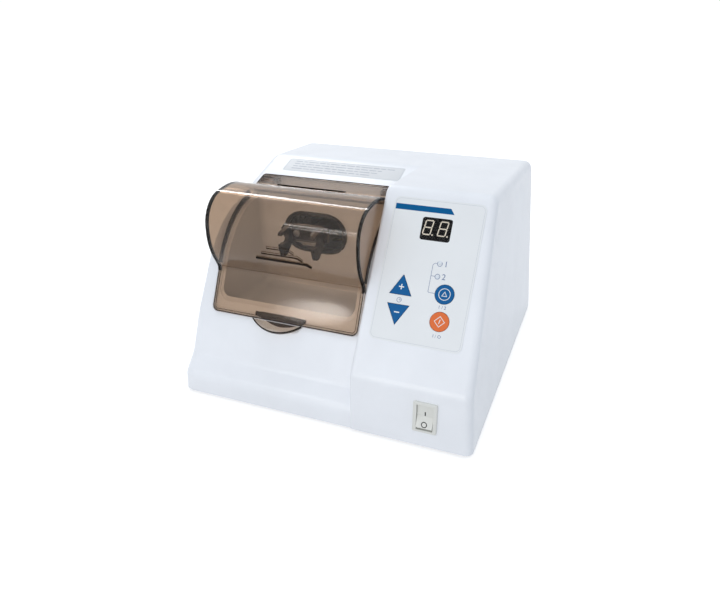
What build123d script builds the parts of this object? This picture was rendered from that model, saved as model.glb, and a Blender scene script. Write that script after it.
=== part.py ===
from build123d import *
import os
from math import cos, hypot, radians, sin, sqrt, tan

# Dental amalgamator (capsule mixer): a drafted two-level moulded housing with a
# swinging mixing arm behind a domed lid, and a sloped control panel beside it.
# Millimetres.  +X is the right-hand side seen from the front, +Y the back, +Z up.
# The origin is on the standing surface, at the middle of the footprint.

# ---- housing: driving dimensions ---------------------------------------------------------
BODY_WIDTH = 266.0          # across the lower edge
BODY_DEPTH = 270.0          # front to back along the lower edge
TOP_HEIGHT = 178.0          # lower edge to the front corner of the top face
EDGE_CLEARANCE = 2.5        # lower edge of the housing above the standing surface
WALL = 3.0                  # moulded wall
DRAFT = 3.8                 # lean of the side, back and band faces, degrees
BAND_HEIGHT = 50.5          # upright band below the control face
FACE_SETBACK = 92.0         # top front corner behind the front edge
TOP_FALL = 5.45             # fall of the top face towards the back, degrees
SOFT_EDGE = 12.0            # rounding along the control face, top and back
RIGHT_ROUNDING = 7.0        # rounding round the right-hand side
LEFT_ROUNDING = 12.0        # rounding round the left-hand side

# ---- mixing side, left of the divider ----------------------------------------------------
BLOCK_WIDTH = 102.0         # control block along the lower edge
DIVIDER_X = BODY_WIDTH / 2 - BLOCK_WIDTH
DIVIDER_ROUNDING = 3.0
BAND_STEP = 1.2             # the mixing side stands this far behind the block
PLINTH_HEIGHT = 17.0        # upright part of the plinth
PLINTH_TOP = 31.5           # crease above the plinth's sloped shoulder
PLINTH_SHOULDER = 13.3      # depth of that shoulder
APRON_HEIGHT = 66.0         # break between the apron and the lid's front seat
APRON_DEPTH = 13.0          # depth gained by the apron
FRONT_SEAT_SLOPE = 61.6     # lid seat at the front, degrees from level
REAR_SEAT_SLOPE = 16.0      # lid seat at the back, degrees from level
KINK_DEPTH = 177.0          # where the rear seat meets the top face
HINGE_DEPTH = KINK_DEPTH - 43.0
HEEL_DEPTH = HINGE_DEPTH - 16.0     # where the lid's dome runs into its rear flange
SEAT_ROUNDING = 80.0        # large rounding between the two seats
SHOULDER_ROUNDING = 14.0
KINK_ROUNDING = 30.0

# ---- mixing chamber ----------------------------------------------------------------------
CHAMBER_LEFT = 31.0 - BODY_WIDTH / 2    # inner faces of the chamber
CHAMBER_RIGHT = DIVIDER_X - 9.0
CHAMBER_LIP = 82.0          # height of its front lip on the front seat
CHAMBER_TOE = 46.0          # depth where its front wall meets the floor
CHAMBER_FLOOR_FRONT = 64.0  # floor height at the front and at the back
CHAMBER_FLOOR_BACK = 58.0
CHAMBER_BACK = HEEL_DEPTH - 1.0     # depth of its back wall
CHAMBER_FLOOR_CORNER = 9.0
CHAMBER_SIDE_CORNER = 7.0
CHAMBER_WALL = 3.0
CHAMBER_FLANGE = 4.0        # width of the flange glued under the housing wall
CHAMBER_FLANGE_THICK = 2.0
FIT_GAP = 0.2               # between parts that drop into each other
GLUE_LINE = 0.1
PORT_WIDTH = 63.0           # arm port in the back wall, over its rubber trim
PORT_TALL = 42.0
TRIM_FACE = 1.5             # trim flange thickness
TRIM_RING = 4.0             # width of the visible trim
TRIM_NECK = 1.5             # trim between the flanges, measured from its opening

# ---- smoked lid --------------------------------------------------------------------------
LID_LEFT = CHAMBER_LEFT - 7.0
LID_RIGHT = DIVIDER_X - 2.2
LID_MIDDLE = (LID_LEFT + LID_RIGHT) / 2
LID_WALL = 2.5
LID_GAP = 0.3               # between the lid and its seats
LID_FOOT = APRON_HEIGHT + 3.0       # height on the front seat where the front flange ends
DOME_FOOT = TOP_HEIGHT - 74.8       # height where the dome leaves the front flange
BELLY_OUT = 14.5            # belly corner of the dome's outline, in front of its foot
BELLY_RISE = 24.8           # and above it
BROW_BACK = 2.3             # brow corner behind the belly corner
BROW_RISE = 40.5            # and above it
CREST_RISE = 3.5            # crest corner above the brow corner
CREST_PLACE = 0.583         # and its place between the brow and the heel
BELLY_ROUNDING = 50.0
BROW_ROUNDING = 0.55        # as shares of the run from the brow to the crest
CREST_ROUNDING = 1.26
FOOT_ROUNDING = 6.0
LID_CORNER = 6.0
TAB_X = LID_MIDDLE - 4.9    # half-moon finger tab
TAB_WIDTH = 48.0
TAB_DROP = 9.5
TAB_TILT = 25.0
TAB_THICK = 2.0
TAB_ROOT = 1.0
SCOOP_RADIUS = 14.0         # finger scoop in the housing behind the tab
SCOOP_DEEP = 2.4
SCOOP_WIDTH = 44.0
RIB_COUNT = 3               # raised ribs on the dome's belly
RIB_WIDTH = 1.5
RIB_PROUD = 0.8
RIB_LOW = DOME_FOOT + 21.7  # height of the lowest rib
RIB_STEP = 5.4              # height between ribs
RIB_LEFT_X = LID_MIDDLE - 22.9      # ends of the lowest rib
RIB_RIGHT_X = LID_MIDDLE + 22.6
RIB_LEFT_STEP = 5.5         # each rib starts this far to the right of the one below
RIB_RIGHT_STEP = 7.2        # and ends this far to its left
RIB_HOOK = 4.0              # width of the slanted end
RIB_FALL = 2.8              # and how far it drops

# ---- lid hinge ---------------------------------------------------------------------------
HINGE_SINK = 3.5            # pin axis below the rear seat
LID_HEEL = 5.0              # rear flange runs this far behind the pin axis
LID_SWING = 100.0
KNUCKLE_RADIUS = 3.2
KNUCKLE_WIDTH = 18.0
PIN_RADIUS = 1.5
PIN_IN_LID = 12.0
PIN_IN_HOUSING = 4.0
PRESS_GAP = 0.02
RUNNING_GAP = 0.05
SWING_GAP = 0.55            # free space round the swinging rear flange
TROUGH_WALL = 2.5
TROUGH_END = 6.0
TROUGH_SIDE_GAP = 0.5

# ---- lid safety switch -------------------------------------------------------------------
INTERLOCK_X = LID_RIGHT - 18.8
INTERLOCK_UP = 4.7          # up the front seat from its lower break
INTERLOCK_PIN = 1.2
INTERLOCK_TRAVEL = 1.0
INTERLOCK_BODY = (13.0, 6.0, 5.0)
INTERLOCK_LOW = 1.5         # switch body's middle below its pin
INTERLOCK_LEG = 2.0
INTERLOCK_COLLAR = 2.2
INTERLOCK_COLLAR_THICK = 1.0

# ---- control panel -----------------------------------------------------------------------
PANEL_LEFT = DIVIDER_X + 9.7
PANEL_RIGHT = BODY_WIDTH / 2 - 18.0
PANEL_TOP = 7.5             # below the face's top corner, measured down the face
PANEL_LENGTH = 115.7
PANEL_CORNER = 5.0
OVERLAY = 0.6
DISPLAY_X = PANEL_LEFT + 37.7
DISPLAY_DOWN = 31.1
DISPLAY_WIDTH = 24.0
DISPLAY_TALL = 18.2
DISPLAY_CORNER = 2.0
MODULE_WIDTH = 25.0
MODULE_TALL = 19.0
TIME_KEY_X = PANEL_LEFT + 19.1
TIME_KEY_WIDTH = 17.6
TIME_KEY_TALL = 15.8
UP_KEY_DOWN = 77.8          # middles of the keys, down the face
DOWN_KEY_DOWN = 101.5
ROUND_KEY_X = PANEL_RIGHT - 20.5
ROUND_KEY_RADIUS = 7.5
SELECT_KEY_DOWN = 80.4
START_KEY_DOWN = 101.7
LED_X = PANEL_RIGHT - 28.6
LED_DOWNS = (56.5, 67.8)
LED_RADIUS = 1.5
LED_PROUD = 0.3
LED_FLANGE = 1.8
LED_FLANGE_TALL = 2.0
KEY_GAP = 0.3
KEY_TRAVEL = 0.5
KEY_PROUD = 0.3             # above the overlay
KEY_SOFT = 0.8
KEY_FLANGE = 1.5
KEY_FLANGE_THICK = 1.2
KEY_STEM = 2.0
TACT_SIDE = 6.0
TACT_TALL = 4.0
TACT_GAP = 0.6
BOARD_DEEP = 12.0           # board's front below the control face
BOARD_THICK = 1.6
BOARD_LEFT = PANEL_LEFT + 5.3
BOARD_WIDTH = PANEL_RIGHT - BOARD_LEFT - 4.0
BOARD_TOP = 14.0
BOARD_LENGTH = 104.0
BOARD_HOLE_INSET = 4.0
STANDOFF = 3.0
CHIP_WIDE = 26.0            # parts behind the control board
CHIP_LONG = 9.0
CHIP_THICK = 3.5
CHIP_BELOW = 22.0           # chip's middle below the display's
RELAY_WIDE = 15.0
RELAY_LONG = 19.0
SOUNDER_RADIUS = 6.0
SOUNDER_TALL = 7.0
PLUG_WIDE = 22.0
PLUG_LONG = 6.0
PLUG_TALL = 9.0

# ---- mains switch ------------------------------------------------------------------------
SWITCH_X = BODY_WIDTH / 2 - 38.4
SWITCH_HEIGHT = 27.4        # middle, measured up the band
BEZEL_WIDTH = 19.4
BEZEL_TALL = 27.0
BEZEL_THICK = 2.0
BEZEL_CORNER = 1.2
BEZEL_CHAMFER = 0.6
SWITCH_BODY_WIDTH = 16.0
SWITCH_BODY_TALL = 25.0
SWITCH_BODY_DEEP = 20.0
SWITCH_HOLLOW = 13.0
ROCKER_WIDTH = 13.0
ROCKER_RADIUS = 10.9        # its tips from the pivot
ROCKER_GAP = 0.3
ROCKER_SWING = 18.0
PIVOT_DEEP = 3.0
ROCKER_END = 4.9            # face above the pivot at the tips
ROCKER_VALLEY = 3.0         # and in the middle
ROCKER_KEEL = 6.0
ROCKER_SHOULDER = 2.18      # its tips run down to this far below the pivot
ROCKER_SOFT = 0.8
AXLE_RADIUS = 1.5
AXLE_STUB = 1.0
TERMINAL_WIDTH = 6.3
TERMINAL_THICK = 0.8
TERMINAL_LENGTH = 8.0
TERMINAL_PITCH = 12.0
TERMINAL_HALF = 4.0         # blades beside the middle

# ---- drive -------------------------------------------------------------------------------
ARM_X = LID_MIDDLE - 2.9    # middle of the mixing arm
SHAFT_DEPTH = HINGE_DEPTH + 26.0
SHAFT_HEIGHT = TOP_HEIGHT - 58.0
PORT_X = ARM_X - 4.5        # middle of the arm port
PORT_HEIGHT = SHAFT_HEIGHT - 2.5
SHAFT_RADIUS = 4.0
HUB_SKEW = 8.0
HUB_LENGTH = 18.0
HUB_RADIUS = 8.0
BEARING_RADIUS = 15.0       # spherical outside of the skewed bearing
BEARING_WIDTH = 9.0
ARM_RING_GAP = 0.3
ARM_RING_WALL = 5.0
ARM_RING_WIDTH = 12.0
ARM_NECK_WIDTH = 12.0
ARM_NECK_TALL = 11.0
ARM_SWING = 7.0
CLIP_DEPTH = CHAMBER_BACK - 29.0    # front face of the clip's back bar
CLIP_THICK = 4.0
CLIP_HALF = 21.0
CLIP_TIP = 3.0              # pointed left end
CLIP_LOW = SHAFT_HEIGHT + 0.5
CLIP_HIGH = SHAFT_HEIGHT + 14.5
CLIP_PAD = 4.0              # arm's pad behind the clip
CLIP_PAD_LOW = CLIP_LOW - 3.0
CLIP_PAD_HIGH = CLIP_HIGH - 1.0
CLIP_SCREW_EDGE = 0.4       # pad beside its screw heads
PRONG_HALF = 13.6           # inner face of each prong from the middle
PRONG_THICK = 3.6
PRONG_FRONT = CLIP_DEPTH - 19.0
PRONG_TOP = CLIP_HIGH
PRONG_FALL = 1.0            # fall of a prong's top towards the front
PRONG_FOOT = SHAFT_HEIGHT - 9.5
PRONG_FOOT_FRONT = CLIP_DEPTH - 16.0
PRONG_FOOT_LONG = 6.0
PRONG_NOSE = 3.0            # roundings of its upper and lower front and of its foot
PRONG_CHIN = 4.0
PRONG_TOE = 2.5
CAPSULE_RADIUS = 6.5
CAPSULE_DEPTH = CLIP_DEPTH - 11.0
CAPSULE_HEIGHT = SHAFT_HEIGHT + 7.0
CAPSULE_GRIP = 1.5          # seat smaller than the capsule, all round
MOUTH_GRIP = 2.5            # and its mouth
MOTOR_RADIUS = 28.0
MOTOR_LENGTH = 62.0
MOTOR_WALL = 2.0
MOTOR_SOFT = 3.0            # rounding at its free end
MAGNET_THICK = 5.0
AIR_GAP = 1.5
ARMATURE_LENGTH = 40.0
ARMATURE_SLOTS = 8
SLOT_WIDE = 3.0
SLOT_DEEP = 4.0
FAN_GAP = 1.5               # between the motor and its fan
FAN_DISC = 1.5
FAN_WIDTH = 5.0
FAN_BLADES = 8
FAN_BLADE = 1.2
FAN_PITCH = 20.0            # turn of each blade, degrees
UPRIGHT_THICK = 4.0
LEFT_UPRIGHT_X = ARM_X - 45.0       # left face of the upright with the shaft bearing
MOTOR_UPRIGHT_X = ARM_X + 34.0      # right face of the upright that carries the motor
UPRIGHT_TOP_RADIUS = 18.0
UPRIGHT_FOOT_HALF = 36.0
CHASSIS_FLOOR = 28.0
CHASSIS_THICK = 3.0
CHASSIS_REACH = 69.0        # past the motor's upright
CHASSIS_FRONT = SHAFT_DEPTH - UPRIGHT_FOOT_HALF
CHASSIS_BACK = SHAFT_DEPTH + UPRIGHT_FOOT_HALF
CHASSIS_LEFT = LEFT_UPRIGHT_X - 20.0
CHASSIS_RIGHT = MOTOR_UPRIGHT_X + CHASSIS_REACH
MOUNT_RADIUS = 8.0
MOUNT_WAIST = 3.0           # radius of the groove round a mount
MOUNT_INSET = 9.0
BALL_BEARING_RADIUS = 11.0
BALL_BEARING_WIDTH = 7.0
BALL_BEARING_HOUSING = 3.0
SHIELD_DEEP = 0.5           # groove that shows the bearing's shield
SHIELD_HALF = 1.0
SHAFT_END = 8.0             # shaft beyond the left upright
SPRING_RADIUS = 7.0
SPRING_WIRE = 0.9
SPRING_TURNS = 6
SPRING_CUP = 3.0

# ---- base --------------------------------------------------------------------------------
BASE_THICK = 3.0
BASE_RECESS = 0.8           # base plate's underside above the lower edge
FOOT_RADIUS = 9.0
FOOT_INSET = 28.0
FOOT_CHAMFER = 0.6
FOOT_GRIP = 1.0             # rubber between its screw's head and the base
POST_INSET = 15.0
POST_RADIUS = 5.5
POST_TOP = 24.0
SCREW_RADIUS = 1.6
SCREW_HEAD = 3.2
SCREW_HEAD_TALL = 1.8
SCREW_SHORT = 0.5           # a screw's tip from the bottom of its hole
CROSS_LONG = 1.2            # cross recess, as shares of the head's radius
CROSS_WIDE = 0.25
VENT_COUNT = 11
VENT_PITCH = 8.0
VENT_WIDTH = 3.4
VENT_TALL = 36.0
VENT_IN = 81.0              # their middle in from the left side
VENT_X = VENT_IN - BODY_WIDTH / 2
VENT_HEIGHT = 98.0
BASE_VENT_DEPTH = 70.0

# ---- mains inlet and power supply --------------------------------------------------------
INLET_X = BODY_WIDTH / 2 - 61.0
INLET_HEIGHT = 42.0
INLET_WIDTH = 50.0
INLET_TALL = 42.0
INLET_FLANGE = 2.7
INLET_SCREW_HALF = 20.0
INLET_SCREW_PAST = 3.0      # screws' ends behind the wall
INLET_CORNER = 3.0
INLET_BODY_WIDTH = 31.0
INLET_BODY_TALL = 38.0
INLET_BODY_DEEP = 24.0
SOCKET_WIDTH = 24.6
SOCKET_TALL = 16.8
SOCKET_DEEP = 17.0
SOCKET_CHAMFER = 5.0
SOCKET_DROP = 7.0
PIN_WIDTH = 2.0
PIN_TALL = 4.0
PIN_LENGTH = 12.0
PIN_SPREAD = 7.0
PIN_DROP = 1.5              # line and neutral pins below the socket's middle
PIN_EARTH_RISE = 3.5
PIN_CHAMFER = 0.5
DRAWER_WIDTH = 22.0
DRAWER_TALL = 8.0
DRAWER_RISE = 11.5
DRAWER_DEEP = 20.0
DRAWER_TRAVEL = 16.0
DRAWER_GAP = 0.3
DRAWER_LIP = 1.0
DRAWER_FLOOR = 1.0          # under the fuses
DRAWER_END = 2.0            # inner end wall
DRAWER_FRONT = 3.0          # solid front, measured from the back face
FUSE_GAP = 0.6
FUSE_RADIUS = 2.5
FUSE_LENGTH = 20.0
POWER_BOARD_LEFT = CHASSIS_RIGHT + 6.0
POWER_BOARD_WIDTH = BODY_WIDTH / 2 - 15.0 - POWER_BOARD_LEFT
POWER_BOARD_FRONT = 96.0
POWER_BOARD_LENGTH = 104.0
POWER_BOARD_RISE = 8.0
CAPACITOR_RADIUS = 8.0      # parts on the power board
CAPACITOR_TALL = 25.0
SMALL_CAPACITOR = 0.62      # the second one's size beside the first
SINK_LONG = 40.0
SINK_TALL = 24.0
SINK_BASE = 3.0
SINK_FINS = 5
SINK_FIN = 1.2
BLOCK_TALL = 12.0           # terminal block
BLOCK_LONG = 12.0
PART_SPACE = 6.0            # between parts on the board
TRANSFORMER_IN = 83.0       # its middle in from the left side
TRANSFORMER_X = TRANSFORMER_IN - BODY_WIDTH / 2
TRANSFORMER_DEPTH = (CHASSIS_BACK + BODY_DEPTH - WALL - 4.0) / 2
TRANSFORMER_WIDTH = 54.0
TRANSFORMER_TALL = 45.0
TRANSFORMER_THICK = 24.0
TRANSFORMER_LIMB = 9.0
COIL_OVERHANG = 6.0
COIL_ROUNDING = 4.2
EAR_THICK = 2.0
PAST = 1.0                  # cutters run on this far past a surface
ON_WALL = 0.05              # how near an edge lies to the wall it belongs to


def back(depth):
    """Y of a point this far behind the front edge of the housing."""
    return depth - BODY_DEPTH / 2


def up(height):
    """Z of a point this far above the lower edge of the housing."""
    return EDGE_CLEARANCE + height


def slope(angle):
    """Rise per unit run at an angle in degrees."""
    return tan(radians(angle))


def yz(depth, height):
    """A side-view point from its depth and height on the housing."""
    return (back(depth), up(height))


def side_face(points, roundings):
    """Closed side-view outline; roundings maps a corner's index to its radius."""
    face = make_face(Polyline(*points, close=True))
    for index, radius in roundings.items():
        corner = face.vertices().sort_by_distance(Vector(*points[index], 0))[0]
        face = fillet(corner, radius)
    return face


def along_x(face, x_from, x_to):
    """Side-view face turned upright and drawn out between two stations in X."""
    return extrude(Plane.YZ.offset(x_from) * face, amount=x_to - x_from)


def top_height(depth):
    """Height of the falling top face at a depth."""
    return TOP_HEIGHT - (depth - FACE_SETBACK) * slope(TOP_FALL)


TOP_BACK_DEPTH = (BODY_DEPTH - top_height(0) * slope(DRAFT)) / (1 - slope(TOP_FALL) * slope(DRAFT))
UNDER = 20.0                # cutting profiles run this far below the lower edge


def control_profile():
    """Side view of the control block, run on below the lower edge."""
    points = [
        yz(-UNDER * slope(DRAFT), -UNDER),
        yz(BAND_HEIGHT * slope(DRAFT), BAND_HEIGHT),
        yz(FACE_SETBACK, TOP_HEIGHT),
        yz(TOP_BACK_DEPTH, top_height(TOP_BACK_DEPTH)),
        yz(BODY_DEPTH + UNDER * slope(DRAFT), -UNDER),
    ]
    return side_face(points, {1: SOFT_EDGE, 2: SOFT_EDGE, 3: SOFT_EDGE})


SHOULDER_FRONT = BAND_STEP + PLINTH_HEIGHT * slope(DRAFT)
APRON_FOOT = SHOULDER_FRONT + PLINTH_SHOULDER
SEAT_FOOT = APRON_FOOT + APRON_DEPTH
KINK_HEIGHT = top_height(KINK_DEPTH)


def front_seat_height(depth):
    """Height of the lid's front seat at a depth."""
    return APRON_HEIGHT + (depth - SEAT_FOOT) * slope(FRONT_SEAT_SLOPE)


def front_seat_depth(height):
    """Depth of the lid's front seat at a height."""
    return SEAT_FOOT + (height - APRON_HEIGHT) / slope(FRONT_SEAT_SLOPE)


def rear_seat_height(depth):
    """Height of the lid's rear seat at a depth."""
    return KINK_HEIGHT - (KINK_DEPTH - depth) * slope(REAR_SEAT_SLOPE)


SEAT_CORNER = (
    KINK_HEIGHT - KINK_DEPTH * slope(REAR_SEAT_SLOPE)
    - APRON_HEIGHT + SEAT_FOOT * slope(FRONT_SEAT_SLOPE)
) / (slope(FRONT_SEAT_SLOPE) - slope(REAR_SEAT_SLOPE))


def mixing_profile():
    """Side view of the mixing side, run on below the lower edge."""
    points = [
        yz(BAND_STEP - UNDER * slope(DRAFT), -UNDER),
        yz(SHOULDER_FRONT, PLINTH_HEIGHT),
        yz(APRON_FOOT, PLINTH_TOP),
        yz(SEAT_FOOT, APRON_HEIGHT),
        yz(SEAT_CORNER, front_seat_height(SEAT_CORNER)),
        yz(KINK_DEPTH, KINK_HEIGHT),
        yz(TOP_BACK_DEPTH, top_height(TOP_BACK_DEPTH)),
        yz(BODY_DEPTH + UNDER * slope(DRAFT), -UNDER),
    ]
    roundings = {
        1: SHOULDER_ROUNDING,
        2: SHOULDER_ROUNDING,
        3: SHOULDER_ROUNDING * 2,
        4: SEAT_ROUNDING,
        5: KINK_ROUNDING,
        6: SOFT_EDGE,
    }
    return side_face(points, roundings)


def inset_face(face, inset):
    """The same outline drawn in on every side."""
    if inset == 0:
        return face
    return offset(face, amount=-inset, kind=Kind.INTERSECTION)


def front_view_block(inset, bottom):
    """Front-view trapezium through the whole depth, its sides drafted."""
    lean_top = TOP_HEIGHT + UNDER
    low = BODY_WIDTH / 2 - inset - bottom * slope(DRAFT)
    high = BODY_WIDTH / 2 - inset - lean_top * slope(DRAFT)
    points = [(-low, up(bottom)), (low, up(bottom)), (high, up(lean_top)), (-high, up(lean_top))]
    face = make_face(Polyline(*points, close=True))
    reach = BODY_DEPTH
    return extrude(Plane.XZ.offset(-reach) * face, amount=2 * reach)


def side_rim(solid, side, inset, bottom):
    """Edges that run round one drafted side wall, without its lower edge."""
    rim = ShapeList()
    for edge in solid.edges():
        on_wall = True
        for t in (0.0, 0.5, 1.0):
            p = edge.position_at(t)
            wall_x = BODY_WIDTH / 2 - inset - (p.Z - EDGE_CLEARANCE) * slope(DRAFT)
            if abs(side * p.X - wall_x) > ON_WALL:
                on_wall = False
        if on_wall and edge.center().Z > up(bottom) + PAST / 2:
            rim.append(edge)
    return rim


def body_form(inset, bottom):
    """The housing's outer form drawn in by inset, standing on height bottom."""
    x_end = BODY_WIDTH
    block = along_x(inset_face(control_profile(), inset), DIVIDER_X + inset, x_end)
    if inset == 0:
        rim = [
            e for e in block.faces().sort_by(Axis.X)[0].edges()
            if e.center().Y < back(KINK_DEPTH) or e.center().Z > up(APRON_HEIGHT * 2)
        ]
        rim = [e for e in rim if e.center().Z > up(0)]
        block = fillet(rim, DIVIDER_ROUNDING)
    overlap = DIVIDER_X + inset + DIVIDER_ROUNDING
    form = along_x(inset_face(mixing_profile(), inset), -x_end, overlap) + block
    form = form & front_view_block(inset, bottom)
    form = fillet(side_rim(form, -1, inset, bottom), LEFT_ROUNDING - inset)
    form = fillet(side_rim(form, 1, inset, bottom), RIGHT_ROUNDING - inset)
    return form


# ---- working planes and shared places ----------------------------------------------------
FACE_RISE = TOP_HEIGHT - BAND_HEIGHT
FACE_RUN = FACE_SETBACK - BAND_HEIGHT * slope(DRAFT)
FACE_LENGTH = hypot(FACE_RISE, FACE_RUN)
FACE_NORMAL = (0, -FACE_RISE / FACE_LENGTH, FACE_RUN / FACE_LENGTH)


def leaning(depth, height, angle):
    """Plane through a side-view point whose surface rises towards the back."""
    normal = (0, -sin(radians(angle)), cos(radians(angle)))
    return Plane(origin=(0, back(depth), up(height)), x_dir=(1, 0, 0), z_dir=normal)


CONTROL_FACE = Plane(origin=(0, back(FACE_SETBACK), up(TOP_HEIGHT)), x_dir=(1, 0, 0), z_dir=FACE_NORMAL)
BAND_FACE = leaning(0, 0, 90 - DRAFT)
BACK_FACE = Plane(
    origin=(0, back(BODY_DEPTH), up(0)), x_dir=(-1, 0, 0), z_dir=(0, cos(radians(DRAFT)), sin(radians(DRAFT)))
)
FRONT_SEAT = leaning(SEAT_FOOT, APRON_HEIGHT, FRONT_SEAT_SLOPE)
REAR_SEAT = leaning(KINK_DEPTH, KINK_HEIGHT, REAR_SEAT_SLOPE)

PIN_DEPTH = HINGE_DEPTH + HINGE_SINK * sin(radians(REAR_SEAT_SLOPE))
PIN_HEIGHT = rear_seat_height(HINGE_DEPTH) - HINGE_SINK * cos(radians(REAR_SEAT_SLOPE))
HEEL_REACH = hypot(LID_HEEL / cos(radians(REAR_SEAT_SLOPE)), HINGE_SINK + LID_GAP + LID_WALL)
TROUGH_RADIUS = HEEL_REACH + SWING_GAP
BASE_TOP = BASE_RECESS + BASE_THICK
BOARD_BACK = BOARD_DEEP + BOARD_THICK


# ---- small building blocks ---------------------------------------------------------------
def slab(plane, sketch, bottom, top):
    """A sketch on a plane, drawn out along its normal between two levels."""
    return extrude(plane.offset(bottom) * sketch, amount=top - bottom)


def brick(x_from, x_to, depth_from, depth_to, height_from, height_to):
    """Upright box between stations in X, depth and height."""
    middle = Pos((x_from + x_to) / 2, back((depth_from + depth_to) / 2), up((height_from + height_to) / 2))
    return middle * Box(x_to - x_from, depth_to - depth_from, height_to - height_from)


def rod_x(radius, x_from, x_to, depth, height):
    """Round bar along X."""
    circle = Pos(back(depth), up(height)) * Circle(radius)
    return extrude(Plane.YZ.offset(x_from) * circle, amount=x_to - x_from)


def column(radius, x, depth, height_from, height_to):
    """Round bar standing up."""
    return extrude(Pos(x, back(depth), up(height_from)) * Circle(radius), amount=height_to - height_from)


def rear_place(x, height):
    """Place on the back face, whose local x runs the other way."""
    return Pos(-x, height)


def screw(length, radius=SCREW_RADIUS, head=SCREW_HEAD, tall=SCREW_HEAD_TALL):
    """Cross-head screw pointing up from its seat at the origin."""
    solid = Pos(0, 0, -tall) * extrude(Circle(head), amount=tall)
    solid = fillet(solid.edges().sort_by(Axis.Z)[0], tall / 3)
    solid += extrude(Circle(radius), amount=length)
    for turn in (0, 90):
        slot = Rot(0, 0, turn) * Box(head * CROSS_LONG, head * CROSS_WIDE, tall)
        solid -= Pos(0, 0, -tall) * slot
    return solid


def on_plane(plane, x, y, level, solid):
    """Stand a solid on a plane at local x, y and level."""
    return plane * Pos(x, y, level) * solid


def save(name, shape):
    export_step(shape, "parts/" + name + ".step")


def group(pieces):
    return Compound(children=list(pieces))


# ---- keys and their outlines -------------------------------------------------------------
def triangle_outline(sign, grow):
    """Triangle of the time keys, pointing up the face for sign 1, grown all round."""
    half = TIME_KEY_TALL / 2
    wide = TIME_KEY_WIDTH / 2
    face = make_face(Polyline((-wide, -sign * half), (wide, -sign * half), (0, sign * half), close=True))
    if grow:
        face = offset(face, amount=grow, kind=Kind.INTERSECTION)
    return face


KEYS = {
    "key_up": (TIME_KEY_X, UP_KEY_DOWN, 1),
    "key_down": (TIME_KEY_X, DOWN_KEY_DOWN, -1),
    "key_select": (ROUND_KEY_X, SELECT_KEY_DOWN, 0),
    "key_start": (ROUND_KEY_X, START_KEY_DOWN, 0),
}


def key_outline(name, grow):
    """Outline of a key on the control face, grown all round."""
    x, down, sign = KEYS[name]
    face = triangle_outline(sign, grow) if sign else Circle(ROUND_KEY_RADIUS + grow)
    return Pos(x, -down) * face


def key_cap(name):
    """Key with its stop flange behind the wall and a stem over its switch."""
    x, down, sign = KEYS[name]
    wall_back = -WALL - FIT_GAP
    cap = slab(CONTROL_FACE, key_outline(name, 0), wall_back, OVERLAY + KEY_PROUD)
    top_edges = cap.faces().sort_by(Axis(CONTROL_FACE.origin, CONTROL_FACE.z_dir))[-1].edges()
    cap = fillet(top_edges, KEY_SOFT / 2)
    flange_bottom = wall_back - KEY_FLANGE_THICK
    cap += slab(CONTROL_FACE, key_outline(name, KEY_FLANGE), flange_bottom, wall_back)
    stem_end = -BOARD_DEEP + TACT_TALL + TACT_GAP
    cap += slab(CONTROL_FACE, Pos(x, -down) * Circle(KEY_STEM), stem_end, flange_bottom)
    return cap


def lens_outline(grow):
    face = RectangleRounded(DISPLAY_WIDTH + 2 * grow, DISPLAY_TALL + 2 * grow, DISPLAY_CORNER)
    return Pos(DISPLAY_X, -DISPLAY_DOWN) * face


def module_outline(grow):
    return Pos(DISPLAY_X, -DISPLAY_DOWN) * Rectangle(MODULE_WIDTH + 2 * grow, MODULE_TALL + 2 * grow)


def board_holes():
    """Fixing holes of the control board, as local x and y on the control face."""
    for x in (BOARD_LEFT + BOARD_HOLE_INSET, BOARD_LEFT + BOARD_WIDTH - BOARD_HOLE_INSET):
        for down in (BOARD_TOP + BOARD_HOLE_INSET, BOARD_TOP + BOARD_LENGTH - BOARD_HOLE_INSET):
            yield (x, -down)


# ---- mixing chamber ----------------------------------------------------------------------
def chamber_block(grow):
    """The chamber's cavity, or the same block grown by a wall, run up past the seats."""
    lean = (CHAMBER_TOE - front_seat_depth(CHAMBER_LIP)) / (CHAMBER_LIP - CHAMBER_FLOOR_FRONT)
    run_up = TOP_HEIGHT
    points = [
        yz(CHAMBER_TOE - lean * run_up, CHAMBER_FLOOR_FRONT + run_up),
        yz(CHAMBER_TOE, CHAMBER_FLOOR_FRONT),
        yz(CHAMBER_BACK, CHAMBER_FLOOR_BACK),
        yz(CHAMBER_BACK, CHAMBER_FLOOR_FRONT + run_up),
    ]
    face = side_face(points, {1: CHAMBER_FLOOR_CORNER, 2: CHAMBER_FLOOR_CORNER})
    face = offset(face, amount=grow, kind=Kind.INTERSECTION) if grow else face
    solid = along_x(face, CHAMBER_LEFT - grow, CHAMBER_RIGHT + grow)
    rims = [e for e in solid.faces().sort_by(Axis.X)[0].edges() if e.center().Z < up(TOP_HEIGHT)]
    rims += [e for e in solid.faces().sort_by(Axis.X)[-1].edges() if e.center().Z < up(TOP_HEIGHT)]
    return fillet(rims, CHAMBER_SIDE_CORNER + grow)


def port_solid(trim, depth_from, depth_to):
    """Stadium bar through the back wall, drawn in by trim from the rubber's outside."""
    stadium = Pos(PORT_X, up(PORT_HEIGHT)) * SlotOverall(PORT_WIDTH - 2 * trim, PORT_TALL - 2 * trim)
    return extrude(Plane.XZ.offset(-back(depth_from)) * stadium, amount=-(depth_to - depth_from))


def seat_solid(inset):
    """The mixing side's form between the chamber's stations, drawn in by inset."""
    reach = CHAMBER_FLANGE + CHAMBER_WALL + CHAMBER_FLANGE
    face = inset_face(mixing_profile(), inset)
    return along_x(face, CHAMBER_LEFT - reach, CHAMBER_RIGHT + reach)


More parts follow.
